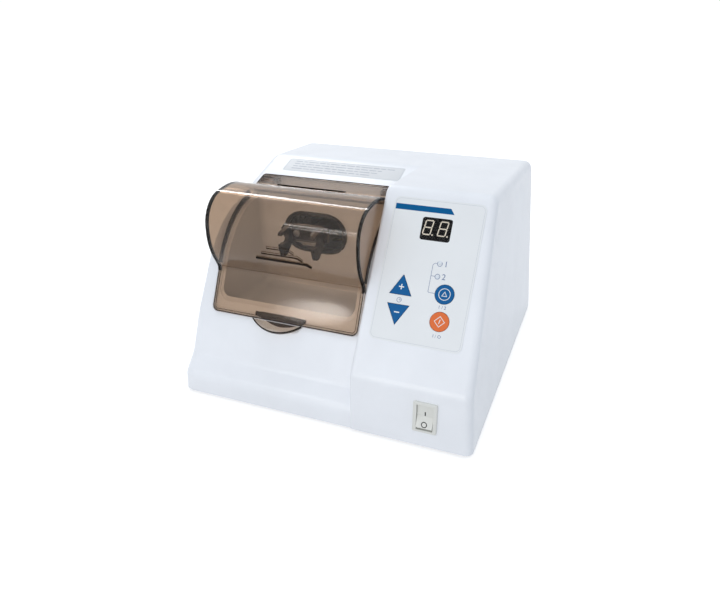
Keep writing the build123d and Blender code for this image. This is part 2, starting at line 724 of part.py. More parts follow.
def mixing_chamber():
    """Deep tub under the lid, flush with the seats and flanged under their wall."""
    tub = chamber_block(CHAMBER_WALL) & seat_solid(0)
    under = WALL + GLUE_LINE
    flange = chamber_block(CHAMBER_WALL + CHAMBER_FLANGE) & seat_solid(under)
    flange -= seat_solid(under + CHAMBER_FLANGE_THICK)
    x_reach = BODY_WIDTH
    behind = CHAMBER_BACK + CHAMBER_WALL
    flange -= brick(-x_reach, x_reach, behind, BODY_DEPTH, 0, TOP_HEIGHT)
    flange -= brick(-x_reach, x_reach, 0, CHAMBER_TOE, 0, TOP_HEIGHT)
    tub = tub + flange
    tub -= chamber_block(0)
    past = CHAMBER_WALL * 2
    neck_hole = TRIM_RING - TRIM_NECK - FIT_GAP
    tub -= port_solid(neck_hole, CHAMBER_BACK - past, CHAMBER_BACK + past)
    return tub


def arm_port_trim():
    """Rubber grommet round the port the mixing arm comes through."""
    front = CHAMBER_BACK - TRIM_FACE
    rear = CHAMBER_BACK + CHAMBER_WALL
    ring = port_solid(0, front, CHAMBER_BACK)
    ring = fillet(ring.faces().sort_by(Axis.Y)[0].edges(), TRIM_FACE / 2)
    ring += port_solid(TRIM_RING - TRIM_NECK, CHAMBER_BACK, rear)
    ring += port_solid(FIT_GAP, rear, rear + TRIM_FACE)
    ring -= port_solid(TRIM_RING, front - TRIM_FACE, rear + 2 * TRIM_FACE)
    return ring


# ---- lid ---------------------------------------------------------------------------------
LID_RISE = LID_GAP + LID_WALL


def over_front_seat(height, rise):
    """Side-view point this far out, square to the front seat, from its point at a height."""
    angle = radians(FRONT_SEAT_SLOPE)
    return yz(front_seat_depth(height) - rise * sin(angle), height + rise * cos(angle))


def over_rear_seat(depth, rise):
    """Side-view point this far out, square to the rear seat, from its point at a depth."""
    angle = radians(REAR_SEAT_SLOPE)
    return yz(depth - rise * sin(angle), rear_seat_height(depth) + rise * cos(angle))


BELLY_DEPTH = front_seat_depth(DOME_FOOT) - BELLY_OUT
BROW_DEPTH = BELLY_DEPTH + BROW_BACK
CREST_DEPTH = BROW_DEPTH + (HEEL_DEPTH - BROW_DEPTH) * CREST_PLACE
BROW_RADIUS = (CREST_DEPTH - BROW_DEPTH) * BROW_ROUNDING
CREST_RADIUS = (CREST_DEPTH - BROW_DEPTH) * CREST_ROUNDING


def dome_points():
    """Corners of the dome's outline from its foot on the front flange to its heel."""
    belly = DOME_FOOT + BELLY_RISE
    brow = belly + BROW_RISE
    return [
        over_front_seat(DOME_FOOT, LID_RISE),
        yz(BELLY_DEPTH, belly),
        yz(BROW_DEPTH, brow),
        yz(CREST_DEPTH, brow + CREST_RISE),
        over_rear_seat(HEEL_DEPTH, LID_RISE),
    ]


def lid_outline(grow=0):
    """Lid from outside, closed inside the housing; the flanges follow the seats."""
    deep = -2 * SOFT_EDGE
    points = [over_front_seat(LID_FOOT, LID_RISE)] + dome_points()
    points.append(over_rear_seat(HINGE_DEPTH + LID_HEEL, LID_RISE))
    points.append(over_rear_seat(HINGE_DEPTH + LID_HEEL, deep))
    points.append(over_front_seat(LID_FOOT, deep))
    roundings = {
        1: FOOT_ROUNDING,
        2: BELLY_ROUNDING,
        3: BROW_RADIUS,
        4: CREST_RADIUS,
        5: FOOT_ROUNDING,
    }
    face = side_face(points, roundings)
    return offset(face, amount=grow) if grow else face


def dome_hollow():
    """Inside of the dome, run down through the flange and the seats."""
    deep = -3 * SOFT_EDGE
    points = dome_points()
    points.append(over_rear_seat(HEEL_DEPTH, deep))
    points.append(over_front_seat(DOME_FOOT, deep))
    face = side_face(points, {1: BELLY_ROUNDING, 2: BROW_RADIUS, 3: CREST_RADIUS})
    return along_x(inset_face(face, LID_WALL), LID_LEFT + LID_WALL, LID_RIGHT - LID_WALL)


def finger_tab():
    """Half-moon lip under the front flange, tipped outwards."""
    sagitta = TAB_DROP + TAB_ROOT
    radius = ((TAB_WIDTH / 2) ** 2 + sagitta ** 2) / (2 * sagitta)
    root = over_front_seat(LID_FOOT, LID_RISE)
    angle = radians(FRONT_SEAT_SLOPE - TAB_TILT)
    plane = Plane(origin=(0, *root), x_dir=(1, 0, 0), z_dir=(0, -sin(angle), cos(angle)))
    disc = Pos(TAB_X, radius - TAB_DROP) * Circle(radius)
    keep = Pos(TAB_X, TAB_ROOT - radius) * Rectangle(2 * TAB_WIDTH, 2 * radius)
    tab = slab(plane, disc & keep, -TAB_THICK, 0)
    return tab


def belly_ribs():
    """Raised ribs across the dome, each with a slanted right end."""
    bars = []
    for count in range(RIB_COUNT):
        right = RIB_RIGHT_X - count * RIB_RIGHT_STEP
        left = RIB_LEFT_X + count * RIB_LEFT_STEP
        height = up(RIB_LOW + count * RIB_STEP)
        path = Polyline((left, height), (right, height), (right + RIB_HOOK, height - RIB_FALL))
        face = trace(path, line_width=RIB_WIDTH)
        bars.append(extrude(Plane.XZ.offset(-back(0)) * face, amount=-CHAMBER_BACK / 2))
    shell_band = along_x(lid_outline(RIB_PROUD), LID_LEFT, LID_RIGHT)
    result = bars[0] & shell_band
    for bar in bars[1:]:
        result = result + (bar & shell_band)
    return result


def lid_knuckles():
    """Hinge knuckles hanging from both ends of the rear flange into the trough."""
    solids = []
    for x_from in (LID_LEFT, LID_RIGHT - KNUCKLE_WIDTH):
        barrel = rod_x(KNUCKLE_RADIUS, x_from, x_from + KNUCKLE_WIDTH, PIN_DEPTH, PIN_HEIGHT)
        plane = leaning(PIN_DEPTH, PIN_HEIGHT, REAR_SEAT_SLOPE)
        middle = x_from + KNUCKLE_WIDTH / 2
        outline = Pos(middle, 0) * Rectangle(KNUCKLE_WIDTH, 2 * KNUCKLE_RADIUS)
        web = slab(plane, outline, 0, HINGE_SINK + LID_RISE - LID_WALL / 2)
        solids.append(barrel + web)
    return solids


def corner_trim(plane, x, y, side, rise, radius):
    """What a rounded corner leaves away: side is -1 or 1 in local x, rise -1 or 1 in y."""
    over = 2 * LID_WALL
    reach = radius + over
    square = Pos(x + side * (over - radius) / 2, y - rise * (over - radius) / 2) * Rectangle(reach, reach)
    disc = Pos(x - side * radius, y + rise * radius) * Circle(radius)
    return slab(plane, square - disc, -over, LID_RISE + over)


def lid_corner_trims():
    """Rounded corners of the front flange and of the rear flange."""
    foot = (LID_FOOT - APRON_HEIGHT) / sin(radians(FRONT_SEAT_SLOPE))
    heel = (HINGE_DEPTH + LID_HEEL - KINK_DEPTH) / cos(radians(REAR_SEAT_SLOPE))
    for x, side in ((LID_LEFT, -1), (LID_RIGHT, 1)):
        yield corner_trim(FRONT_SEAT, x, foot, side, 1, LID_CORNER)
        yield corner_trim(REAR_SEAT, x, heel, side, -1, LID_CORNER / 2)


def lid():
    """One-piece smoked lid: flat flanges, domed middle, finger tab and knuckles."""
    reach = BODY_WIDTH
    solid = along_x(lid_outline(), LID_LEFT, LID_RIGHT)
    solid -= along_x(inset_face(mixing_profile(), -LID_GAP), -reach, reach)
    for trim in lid_corner_trims():
        solid -= trim
    solid += belly_ribs()
    solid -= dome_hollow()
    solid += finger_tab()
    for knuckle in lid_knuckles():
        solid += knuckle
    for x_from in (LID_LEFT, LID_RIGHT - PIN_IN_LID):
        solid -= rod_x(PIN_RADIUS + PRESS_GAP, x_from, x_from + PIN_IN_LID, PIN_DEPTH, PIN_HEIGHT)
    return solid


def lid_pins():
    out = TROUGH_SIDE_GAP + PIN_IN_HOUSING
    left = rod_x(PIN_RADIUS, LID_LEFT - out, LID_LEFT + PIN_IN_LID - FIT_GAP, PIN_DEPTH, PIN_HEIGHT)
    right = rod_x(PIN_RADIUS, LID_RIGHT - PIN_IN_LID + FIT_GAP, LID_RIGHT + out, PIN_DEPTH, PIN_HEIGHT)
    return group([left, right])


# ---- top housing -------------------------------------------------------------------------
def scoop(radius):
    """Capsule-shaped finger scoop across the foot of the front seat."""
    depth, height = over_front_seat(LID_FOOT, SCOOP_RADIUS - SCOOP_DEEP)
    chord = sqrt(SCOOP_RADIUS ** 2 - (SCOOP_RADIUS - SCOOP_DEEP) ** 2)
    half = SCOOP_WIDTH / 2 - chord
    bar = extrude(Plane.YZ.offset(TAB_X - half) * Pos(depth, height) * Circle(radius), amount=2 * half)
    for end in (-half, half):
        bar += Pos(TAB_X + end, depth, height) * Sphere(radius)
    return bar


def trough(radius, grow):
    """Round bar along the hinge, grown at its ends."""
    left = LID_LEFT - TROUGH_SIDE_GAP - grow
    right = LID_RIGHT + TROUGH_SIDE_GAP + grow
    return rod_x(radius, left, right, PIN_DEPTH, PIN_HEIGHT)


def corner_posts():
    """Screw posts in the four lower corners, as x and depth."""
    for x in (-BODY_WIDTH / 2 + POST_INSET, BODY_WIDTH / 2 - POST_INSET):
        for depth in (POST_INSET, BODY_DEPTH - POST_INSET):
            yield (x, depth)


def housing_inner_features():
    """Posts, ribs, trough and scoop backing, all kept inside the outer form."""
    solids = [trough(TROUGH_RADIUS + TROUGH_WALL, TROUGH_END), scoop(SCOOP_RADIUS + WALL)]
    for x, depth in corner_posts():
        side = 1 if x > 0 else -1
        solids.append(column(POST_RADIUS, x, depth, BASE_TOP + FIT_GAP, POST_TOP))
        x_pair = sorted((x, side * BODY_WIDTH / 2))
        rib = (x_pair[0], x_pair[1], depth - WALL / 2, depth + WALL / 2, BASE_TOP + FIT_GAP, POST_TOP)
        solids.append(brick(*rib))
    return solids


def housing_cuts():
    """Everything that passes through the housing's walls."""
    cuts = [trough(TROUGH_RADIUS, 0), scoop(SCOOP_RADIUS), chamber_block(CHAMBER_WALL + FIT_GAP)]
    pin_reach = TROUGH_SIDE_GAP + PIN_IN_HOUSING + SWING_GAP
    pin_hole = rod_x(
        PIN_RADIUS + RUNNING_GAP, LID_LEFT - pin_reach, LID_RIGHT + pin_reach, PIN_DEPTH, PIN_HEIGHT
    )
    cuts.append(pin_hole)
    through = 2 * WALL
    for name in KEYS:
        cuts.append(slab(CONTROL_FACE, key_outline(name, KEY_GAP), -through, through))
    cuts.append(slab(CONTROL_FACE, module_outline(FIT_GAP), -through, through))
    for down in LED_DOWNS:
        bore = Pos(LED_X, -down) * Circle(LED_RADIUS + RUNNING_GAP)
        cuts.append(slab(CONTROL_FACE, bore, -through, through))
    body = Rectangle(SWITCH_BODY_WIDTH + 2 * FIT_GAP, SWITCH_BODY_TALL + 2 * FIT_GAP)
    cuts.append(slab(BAND_FACE, Pos(SWITCH_X, SWITCH_HEIGHT) * body, -through, through))
    inlet = Rectangle(INLET_BODY_WIDTH + 2 * FIT_GAP, INLET_BODY_TALL + 2 * FIT_GAP)
    cuts.append(slab(BACK_FACE, rear_place(INLET_X, INLET_HEIGHT) * inlet, -through, through))
    for side in (-1, 1):
        place = rear_place(INLET_X + side * INLET_SCREW_HALF, INLET_HEIGHT)
        hole = place * Circle(SCREW_RADIUS + RUNNING_GAP)
        cuts.append(slab(BACK_FACE, hole, -through, through))
    for count in range(VENT_COUNT):
        x = VENT_X + (count - (VENT_COUNT - 1) / 2) * VENT_PITCH
        slot = Rot(0, 0, 90) * SlotOverall(VENT_TALL, VENT_WIDTH)
        cuts.append(slab(BACK_FACE, rear_place(x, VENT_HEIGHT) * slot, -through, through))
    plunger = Pos(INTERLOCK_X, INTERLOCK_UP) * Circle(INTERLOCK_PIN + RUNNING_GAP)
    cuts.append(slab(FRONT_SEAT, plunger, -through, through))
    for x, depth in corner_posts():
        cuts.append(column(SCREW_RADIUS + PRESS_GAP, x, depth, 0, POST_TOP - WALL))
    return cuts


def control_standoffs():
    """Posts behind the control face that carry the control board."""
    solids = []
    for x, y in board_holes():
        post = slab(CONTROL_FACE, Pos(x, y) * Circle(STANDOFF), -BOARD_DEEP, -WALL / 2)
        post -= slab(CONTROL_FACE, Pos(x, y) * Circle(SCREW_RADIUS + PRESS_GAP), -BOARD_DEEP, -WALL)
        solids.append(post)
    return solids


def top_housing():
    outer = body_form(0, 0)
    inner = body_form(WALL, -UNDER / 2)
    solid = outer - inner
    for feature in housing_inner_features():
        solid += feature & outer
    for post in control_standoffs():
        solid += post
    for cut in housing_cuts():
        solid -= cut
    return solid


# ---- base, feet and fasteners ------------------------------------------------------------
def base_half_width():
    return BODY_WIDTH / 2 - WALL - BASE_TOP * slope(DRAFT) - FIT_GAP


def foot_places():
    for x in (-BODY_WIDTH / 2 + FOOT_INSET, BODY_WIDTH / 2 - FOOT_INSET):
        for depth in (FOOT_INSET, BODY_DEPTH - FOOT_INSET):
            yield (x, depth)


def mount_places():
    for x in (CHASSIS_LEFT + MOUNT_INSET, CHASSIS_RIGHT - MOUNT_INSET):
        for depth in (CHASSIS_FRONT + MOUNT_INSET, CHASSIS_BACK - MOUNT_INSET):
            yield (x, depth)


def power_board_places():
    for x in (POWER_BOARD_LEFT + BOARD_HOLE_INSET, POWER_BOARD_LEFT + POWER_BOARD_WIDTH - BOARD_HOLE_INSET):
        for offset_along in (BOARD_HOLE_INSET, POWER_BOARD_LENGTH - BOARD_HOLE_INSET):
            yield (x, POWER_BOARD_FRONT + offset_along)


def transformer_ears():
    reach = TRANSFORMER_WIDTH / 2 + POST_RADIUS
    for x in (TRANSFORMER_X - reach, TRANSFORMER_X + reach):
        yield (x, TRANSFORMER_DEPTH)


def base_plate():
    """Floor of the case, let into the housing's lower edge."""
    front = BAND_STEP + WALL + BASE_TOP * slope(DRAFT) + FIT_GAP
    rear = BODY_DEPTH - WALL - BASE_TOP * slope(DRAFT) - FIT_GAP
    half = base_half_width()
    outline = RectangleRounded(2 * half, rear - front, LEFT_ROUNDING)
    middle = Pos(0, back((front + rear) / 2), up(BASE_RECESS))
    plate = extrude(middle * outline, amount=BASE_THICK)
    for x, depth in list(corner_posts()) + list(foot_places()):
        plate -= column(SCREW_RADIUS + RUNNING_GAP, x, depth, 0, BASE_TOP + PAST)
    for x, depth in list(mount_places()) + list(power_board_places()) + list(transformer_ears()):
        plate -= column(SCREW_RADIUS + RUNNING_GAP, x, depth, 0, BASE_TOP + PAST)
    for count in range(VENT_COUNT):
        x = (count - (VENT_COUNT - 1) / 2) * VENT_PITCH
        slot = Pos(x, back(BASE_VENT_DEPTH), up(0)) * Rot(0, 0, 90) * SlotOverall(VENT_TALL, VENT_WIDTH)
        plate -= extrude(slot, amount=2 * BASE_TOP)
    return plate


def rubber_feet():
    feet = []
    for x, depth in foot_places():
        foot = column(FOOT_RADIUS, x, depth, -EDGE_CLEARANCE, BASE_RECESS)
        foot = chamfer(foot.edges().sort_by(Axis.Z)[0], FOOT_CHAMFER)
        foot -= column(SCREW_HEAD + FIT_GAP, x, depth, -EDGE_CLEARANCE, BASE_RECESS - FOOT_GRIP)
        foot -= column(SCREW_RADIUS + RUNNING_GAP, x, depth, -EDGE_CLEARANCE, BASE_RECESS)
        feet.append(foot)
    return group(feet)


def foot_screws():
    seat = up(BASE_RECESS - FOOT_GRIP)
    return group(Pos(x, back(d), seat) * screw(BASE_THICK + FOOT_GRIP - FIT_GAP) for x, d in foot_places())


def housing_screws():
    length = POST_TOP - WALL - BASE_RECESS - 2 * SCREW_SHORT
    return group(Pos(x, back(d), up(BASE_RECESS)) * screw(length) for x, d in corner_posts())


# ---- drive -------------------------------------------------------------------------------
MOTOR_LEFT = MOTOR_UPRIGHT_X
MOTOR_RIGHT = MOTOR_UPRIGHT_X + MOTOR_LENGTH


def upright(x_from):
    """Plate across the shaft, standing on the chassis floor."""
    foot = UPRIGHT_FOOT_HALF
    points = [
        yz(SHAFT_DEPTH - foot, CHASSIS_FLOOR),
        yz(SHAFT_DEPTH + foot, CHASSIS_FLOOR),
        yz(SHAFT_DEPTH + UPRIGHT_TOP_RADIUS, SHAFT_HEIGHT),
        yz(SHAFT_DEPTH - UPRIGHT_TOP_RADIUS, SHAFT_HEIGHT),
    ]
    face = make_face(Polyline(*points, close=True))
    face += Pos(back(SHAFT_DEPTH), up(SHAFT_HEIGHT)) * Circle(UPRIGHT_TOP_RADIUS)
    return along_x(face, x_from, x_from + UPRIGHT_THICK)


def drive_chassis():
    floor_bottom = CHASSIS_FLOOR - CHASSIS_THICK
    solid = brick(CHASSIS_LEFT, CHASSIS_RIGHT, CHASSIS_FRONT, CHASSIS_BACK, floor_bottom, CHASSIS_FLOOR)
    solid += upright(LEFT_UPRIGHT_X)
    solid += upright(MOTOR_UPRIGHT_X - UPRIGHT_THICK)
    boss_end = LEFT_UPRIGHT_X + BALL_BEARING_WIDTH
    boss_radius = BALL_BEARING_RADIUS + BALL_BEARING_HOUSING
    solid += rod_x(boss_radius, LEFT_UPRIGHT_X, boss_end, SHAFT_DEPTH, SHAFT_HEIGHT)
    seat = BALL_BEARING_RADIUS + PRESS_GAP
    solid -= rod_x(seat, LEFT_UPRIGHT_X - PAST, boss_end + PAST, SHAFT_DEPTH, SHAFT_HEIGHT)
    motor_side = MOTOR_UPRIGHT_X - UPRIGHT_THICK - PAST
    solid -= rod_x(BALL_BEARING_RADIUS, motor_side, MOTOR_UPRIGHT_X + PAST, SHAFT_DEPTH, SHAFT_HEIGHT)
    for depth, height in motor_screw_places():
        solid -= rod_x(SCREW_RADIUS + RUNNING_GAP, motor_side, MOTOR_UPRIGHT_X, depth, height)
    for x, depth in mount_places():
        solid -= column(SCREW_RADIUS + RUNNING_GAP, x, depth, floor_bottom, CHASSIS_FLOOR)
    return solid


def motor_screw_places():
    """Two screws beside the shaft, as depth and height."""
    for side in (-1, 1):
        yield (SHAFT_DEPTH + side * (UPRIGHT_TOP_RADIUS - SCREW_HEAD), SHAFT_HEIGHT)


def left_bearing():
    left = LEFT_UPRIGHT_X
    right = LEFT_UPRIGHT_X + BALL_BEARING_WIDTH
    ring = rod_x(BALL_BEARING_RADIUS, left, right, SHAFT_DEPTH, SHAFT_HEIGHT)
    ring -= rod_x(SHAFT_RADIUS + RUNNING_GAP, left, right, SHAFT_DEPTH, SHAFT_HEIGHT)
    groove = (BALL_BEARING_RADIUS + SHAFT_RADIUS) / 2
    for x_from in (left, right - SHIELD_DEEP):
        x_to = x_from + SHIELD_DEEP
        face = rod_x(groove + SHIELD_HALF, x_from, x_to, SHAFT_DEPTH, SHAFT_HEIGHT)
        ring -= face - rod_x(groove - SHIELD_HALF, x_from, x_to, SHAFT_DEPTH, SHAFT_HEIGHT)
    return ring


def motor_can():
    """Steel motor case with closed ends and bearing necks."""
    can = rod_x(MOTOR_RADIUS, MOTOR_LEFT, MOTOR_RIGHT, SHAFT_DEPTH, SHAFT_HEIGHT)
    can = fillet(can.edges().filter_by(GeomType.CIRCLE).sort_by(Axis.X)[-1], MOTOR_SOFT)
    inside = MOTOR_RADIUS - MOTOR_WALL
    can -= rod_x(inside, MOTOR_LEFT + MOTOR_WALL, MOTOR_RIGHT - MOTOR_WALL, SHAFT_DEPTH, SHAFT_HEIGHT)
    can -= rod_x(SHAFT_RADIUS + RUNNING_GAP, MOTOR_LEFT - PAST, MOTOR_RIGHT + PAST, SHAFT_DEPTH, SHAFT_HEIGHT)
    for depth, height in motor_screw_places():
        hole_end = MOTOR_LEFT + MOTOR_WALL + PAST
        can -= rod_x(SCREW_RADIUS + PRESS_GAP, MOTOR_LEFT - PAST, hole_end, depth, height)
    return can


def motor_screws():
    solids = []
    for depth, height in motor_screw_places():
        place = Pos(MOTOR_UPRIGHT_X - UPRIGHT_THICK, back(depth), up(height)) * Rot(0, 90, 0)
        solids.append(place * screw(UPRIGHT_THICK + MOTOR_WALL))
    return group(solids)


def motor_magnets():
    """Two arc magnets glued inside the motor case."""
    outside = MOTOR_RADIUS - MOTOR_WALL
    middle = (MOTOR_LEFT + MOTOR_RIGHT) / 2
    x_from = middle - ARMATURE_LENGTH / 2
    x_to = middle + ARMATURE_LENGTH / 2
    ring = rod_x(outside - PRESS_GAP, x_from, x_to, SHAFT_DEPTH, SHAFT_HEIGHT)
    ring -= rod_x(outside - MAGNET_THICK, x_from, x_to, SHAFT_DEPTH, SHAFT_HEIGHT)
    gap = MAGNET_THICK
    tall = (SHAFT_HEIGHT - outside, SHAFT_HEIGHT + outside)
    ring -= brick(x_from, x_to, SHAFT_DEPTH - gap, SHAFT_DEPTH + gap, *tall)
    return ring


def rotor_shaft():
    left = LEFT_UPRIGHT_X - SHAFT_END
    right = MOTOR_RIGHT + SHAFT_END
    return rod_x(SHAFT_RADIUS, left, right, SHAFT_DEPTH, SHAFT_HEIGHT)


def armature():
    radius = MOTOR_RADIUS - MOTOR_WALL - MAGNET_THICK - AIR_GAP
    middle = (MOTOR_LEFT + MOTOR_RIGHT) / 2
    half = ARMATURE_LENGTH / 2
    core = rod_x(radius, middle - half, middle + half, SHAFT_DEPTH, SHAFT_HEIGHT)
    for count in range(ARMATURE_SLOTS):
        turn = Pos(0, back(SHAFT_DEPTH), up(SHAFT_HEIGHT)) * Rot(count * 360 / ARMATURE_SLOTS, 0, 0)
        core -= turn * Pos(middle, 0, radius) * Box(ARMATURE_LENGTH, SLOT_WIDE, 2 * SLOT_DEEP)
    core -= rod_x(SHAFT_RADIUS, middle - half, middle + half, SHAFT_DEPTH, SHAFT_HEIGHT)
    return core


def motor_fan():
    """Cooling fan on the shaft's free end behind the motor."""
    x_from = MOTOR_RIGHT + FAN_GAP
    hub_radius = 2 * SHAFT_RADIUS
    disc_radius = MOTOR_RADIUS * 0.8
    fan = rod_x(hub_radius, x_from, x_from + FAN_WIDTH, SHAFT_DEPTH, SHAFT_HEIGHT)
    fan += rod_x(disc_radius, x_from, x_from + FAN_DISC, SHAFT_DEPTH, SHAFT_HEIGHT)
    blade = Rot(0, 0, FAN_PITCH) * Box(FAN_WIDTH, FAN_BLADE, disc_radius - hub_radius / 2)
    middle = Pos(x_from + FAN_WIDTH * 0.6, back(SHAFT_DEPTH), up(SHAFT_HEIGHT))
    for count in range(FAN_BLADES):
        turn = middle * Rot(count * 360 / FAN_BLADES, 0, 0)
        fan += turn * Pos(0, 0, disc_radius / 2 + hub_radius / 4) * blade
    fan -= rod_x(SHAFT_RADIUS, x_from, x_from + FAN_WIDTH + PAST, SHAFT_DEPTH, SHAFT_HEIGHT)
    return fan


def skew_frame():
    """Place of the skewed hub: its own X axis leans from the shaft."""
    return Pos(ARM_X, back(SHAFT_DEPTH), up(SHAFT_HEIGHT)) * Rot(0, 0, HUB_SKEW)


def skew_hub():
    """Eccentric-angle hub keyed to the shaft."""
    place = skew_frame() * Rot(0, 90, 0)
    hub = place * Cylinder(HUB_RADIUS, HUB_LENGTH)
    return hub - rod_x(SHAFT_RADIUS, ARM_X - HUB_LENGTH, ARM_X + HUB_LENGTH, SHAFT_DEPTH, SHAFT_HEIGHT)


def hub_bearing():
    """Bearing on the skewed hub, round outside so the ring can wobble on it."""
    ball = Rot(0, 90, 0) * Sphere(BEARING_RADIUS)
    ball = ball & (Rot(0, 90, 0) * Cylinder(BEARING_RADIUS * 2, BEARING_WIDTH))
    ball -= Rot(0, 90, 0) * Cylinder(HUB_RADIUS, BEARING_WIDTH)
    return skew_frame() * ball


# ---- mixing arm and capsule clip ---------------------------------------------------------
def mixing_arm():
    """Ring round the skewed bearing with a neck through the port to the clip."""
    radius = BEARING_RADIUS + ARM_RING_GAP
    outside = radius + ARM_RING_WALL
    half = ARM_RING_WIDTH / 2
    arm = rod_x(outside, ARM_X - half, ARM_X + half, SHAFT_DEPTH, SHAFT_HEIGHT)
    front = CLIP_DEPTH + CLIP_THICK
    neck_half = ARM_NECK_WIDTH / 2
    tall_half = ARM_NECK_TALL / 2
    low = SHAFT_HEIGHT - tall_half
    arm += brick(ARM_X - neck_half, ARM_X + neck_half, front, SHAFT_DEPTH, low, low + ARM_NECK_TALL)
    pad_half = ARM_NECK_WIDTH
    arm += brick(ARM_X - pad_half, ARM_X + pad_half, front, front + CLIP_PAD, CLIP_PAD_LOW, CLIP_PAD_HIGH)
    arm -= Pos(ARM_X, back(SHAFT_DEPTH), up(SHAFT_HEIGHT)) * Rot(0, 90, 0) * Sphere(radius)
    for x, height in clip_screw_places():
        bore = Rot(-90, 0, 0) * Cylinder(SCREW_RADIUS + PRESS_GAP, 4 * CLIP_PAD)
        hole = Pos(x, back(front), up(height)) * bore
        arm -= hole
    return arm


def clip_screw_places():
    for side in (-1, 1):
        yield (ARM_X + side * (ARM_NECK_WIDTH - SCREW_HEAD - CLIP_SCREW_EDGE), (CLIP_LOW + CLIP_HIGH) / 2)


def prong(side):
    """One side of the clip: cradles the capsule's end and drops to a foot."""
    points = [
        yz(CLIP_DEPTH + CLIP_THICK, CLIP_HIGH),
        yz(CLIP_DEPTH, PRONG_TOP),
        yz(PRONG_FRONT, PRONG_TOP - PRONG_FALL),
        yz(PRONG_FRONT, CAPSULE_HEIGHT - CAPSULE_RADIUS),
        yz(PRONG_FOOT_FRONT, PRONG_FOOT),
        yz(PRONG_FOOT_FRONT + PRONG_FOOT_LONG, PRONG_FOOT),
        yz(CLIP_DEPTH + CLIP_THICK, CLIP_LOW),
    ]
    face = side_face(points, {2: PRONG_NOSE, 3: PRONG_CHIN, 4: PRONG_TOE, 5: PRONG_TOE})
    inner = ARM_X + side * PRONG_HALF
    x_pair = sorted((inner, inner + side * PRONG_THICK))
    plate = along_x(face, *x_pair)
    plate -= rod_x(CAPSULE_RADIUS - CAPSULE_GRIP, x_pair[0], x_pair[1], CAPSULE_DEPTH, CAPSULE_HEIGHT)
    mouth = CAPSULE_RADIUS - MOUTH_GRIP
    plate -= brick(x_pair[0], x_pair[1], 0, CAPSULE_DEPTH, CAPSULE_HEIGHT - mouth, CAPSULE_HEIGHT + mouth)
    return plate


def capsule_clip():
    """Spring-steel fork that grips the capsule by its ends."""
    middle = (CLIP_LOW + CLIP_HIGH) / 2
    outline = make_face(Polyline(
        (ARM_X - CLIP_HALF, up(CLIP_LOW)),
        (ARM_X + CLIP_HALF, up(CLIP_LOW)),
        (ARM_X + CLIP_HALF, up(CLIP_HIGH)),
        (ARM_X - CLIP_HALF, up(CLIP_HIGH)),
        (ARM_X - CLIP_HALF - CLIP_TIP, up(middle + CLIP_TIP)),
        close=True,
    ))
    clip = extrude(Plane.XZ.offset(-back(CLIP_DEPTH)) * outline, amount=-CLIP_THICK)
    for side in (-1, 1):
        clip += prong(side)
    hole = Rot(-90, 0, 0) * Cylinder(SCREW_RADIUS + RUNNING_GAP, 4 * CLIP_THICK)
    for x, height in clip_screw_places():
        clip -= Pos(x, back(CLIP_DEPTH), up(height)) * hole
    return clip


def clip_screws():
    solids = []
    for x, height in clip_screw_places():
        place = Pos(x, back(CLIP_DEPTH), up(height)) * Rot(-90, 0, 0)
        solids.append(place * screw(CLIP_THICK + CLIP_PAD - SCREW_SHORT))
    return group(solids)


def spring_cup():
    """Post under the ring that carries the centring spring."""
    cup = column(SPRING_RADIUS + SPRING_CUP, ARM_X, SHAFT_DEPTH, CHASSIS_FLOOR, CHASSIS_FLOOR + SPRING_CUP)
    post_top = CHASSIS_FLOOR + 4 * SPRING_CUP
    cup += column(SPRING_RADIUS - 2 * SPRING_WIRE, ARM_X, SHAFT_DEPTH, CHASSIS_FLOOR, post_top)
    return cup


def arm_spring():
    """Coil spring that steadies the ring from below."""
    bottom = CHASSIS_FLOOR + SPRING_CUP + SPRING_WIRE + GLUE_LINE
    top = SHAFT_HEIGHT - BEARING_RADIUS - ARM_RING_GAP - ARM_RING_WALL - SPRING_WIRE - LID_GAP
    tall = top - bottom
    helix = Helix(pitch=tall / SPRING_TURNS, height=tall, radius=SPRING_RADIUS)
    start = Plane(origin=helix @ 0, z_dir=helix % 0)
    wire = sweep(start * Circle(SPRING_WIRE), path=helix)
    return Pos(ARM_X, back(SHAFT_DEPTH), up(bottom)) * wire


def vibration_mounts():
    top = CHASSIS_FLOOR - CHASSIS_THICK
    solids = []
    for x, depth in mount_places():
        mount = column(MOUNT_RADIUS, x, depth, BASE_TOP, top)
        waist = Pos(x, back(depth), up((BASE_TOP + top) / 2)) * Torus(MOUNT_RADIUS + PAST, MOUNT_WAIST)
        mount -= waist
        mount -= column(SCREW_RADIUS + PRESS_GAP, x, depth, BASE_TOP, top)
        solids.append(mount)
    return group(solids)


def mount_screws():
    """Screws into each vibration mount, one through the base and one through the chassis."""
    solids = []
    reach = (CHASSIS_FLOOR - CHASSIS_THICK - BASE_TOP) / 2 - 2 * SCREW_SHORT
    for x, depth in mount_places():
        solids.append(Pos(x, back(depth), up(BASE_RECESS)) * screw(BASE_THICK + reach))
        solids.append(Pos(x, back(depth), up(CHASSIS_FLOOR)) * Rot(180, 0, 0) * screw(CHASSIS_THICK + reach))
    return group(solids)


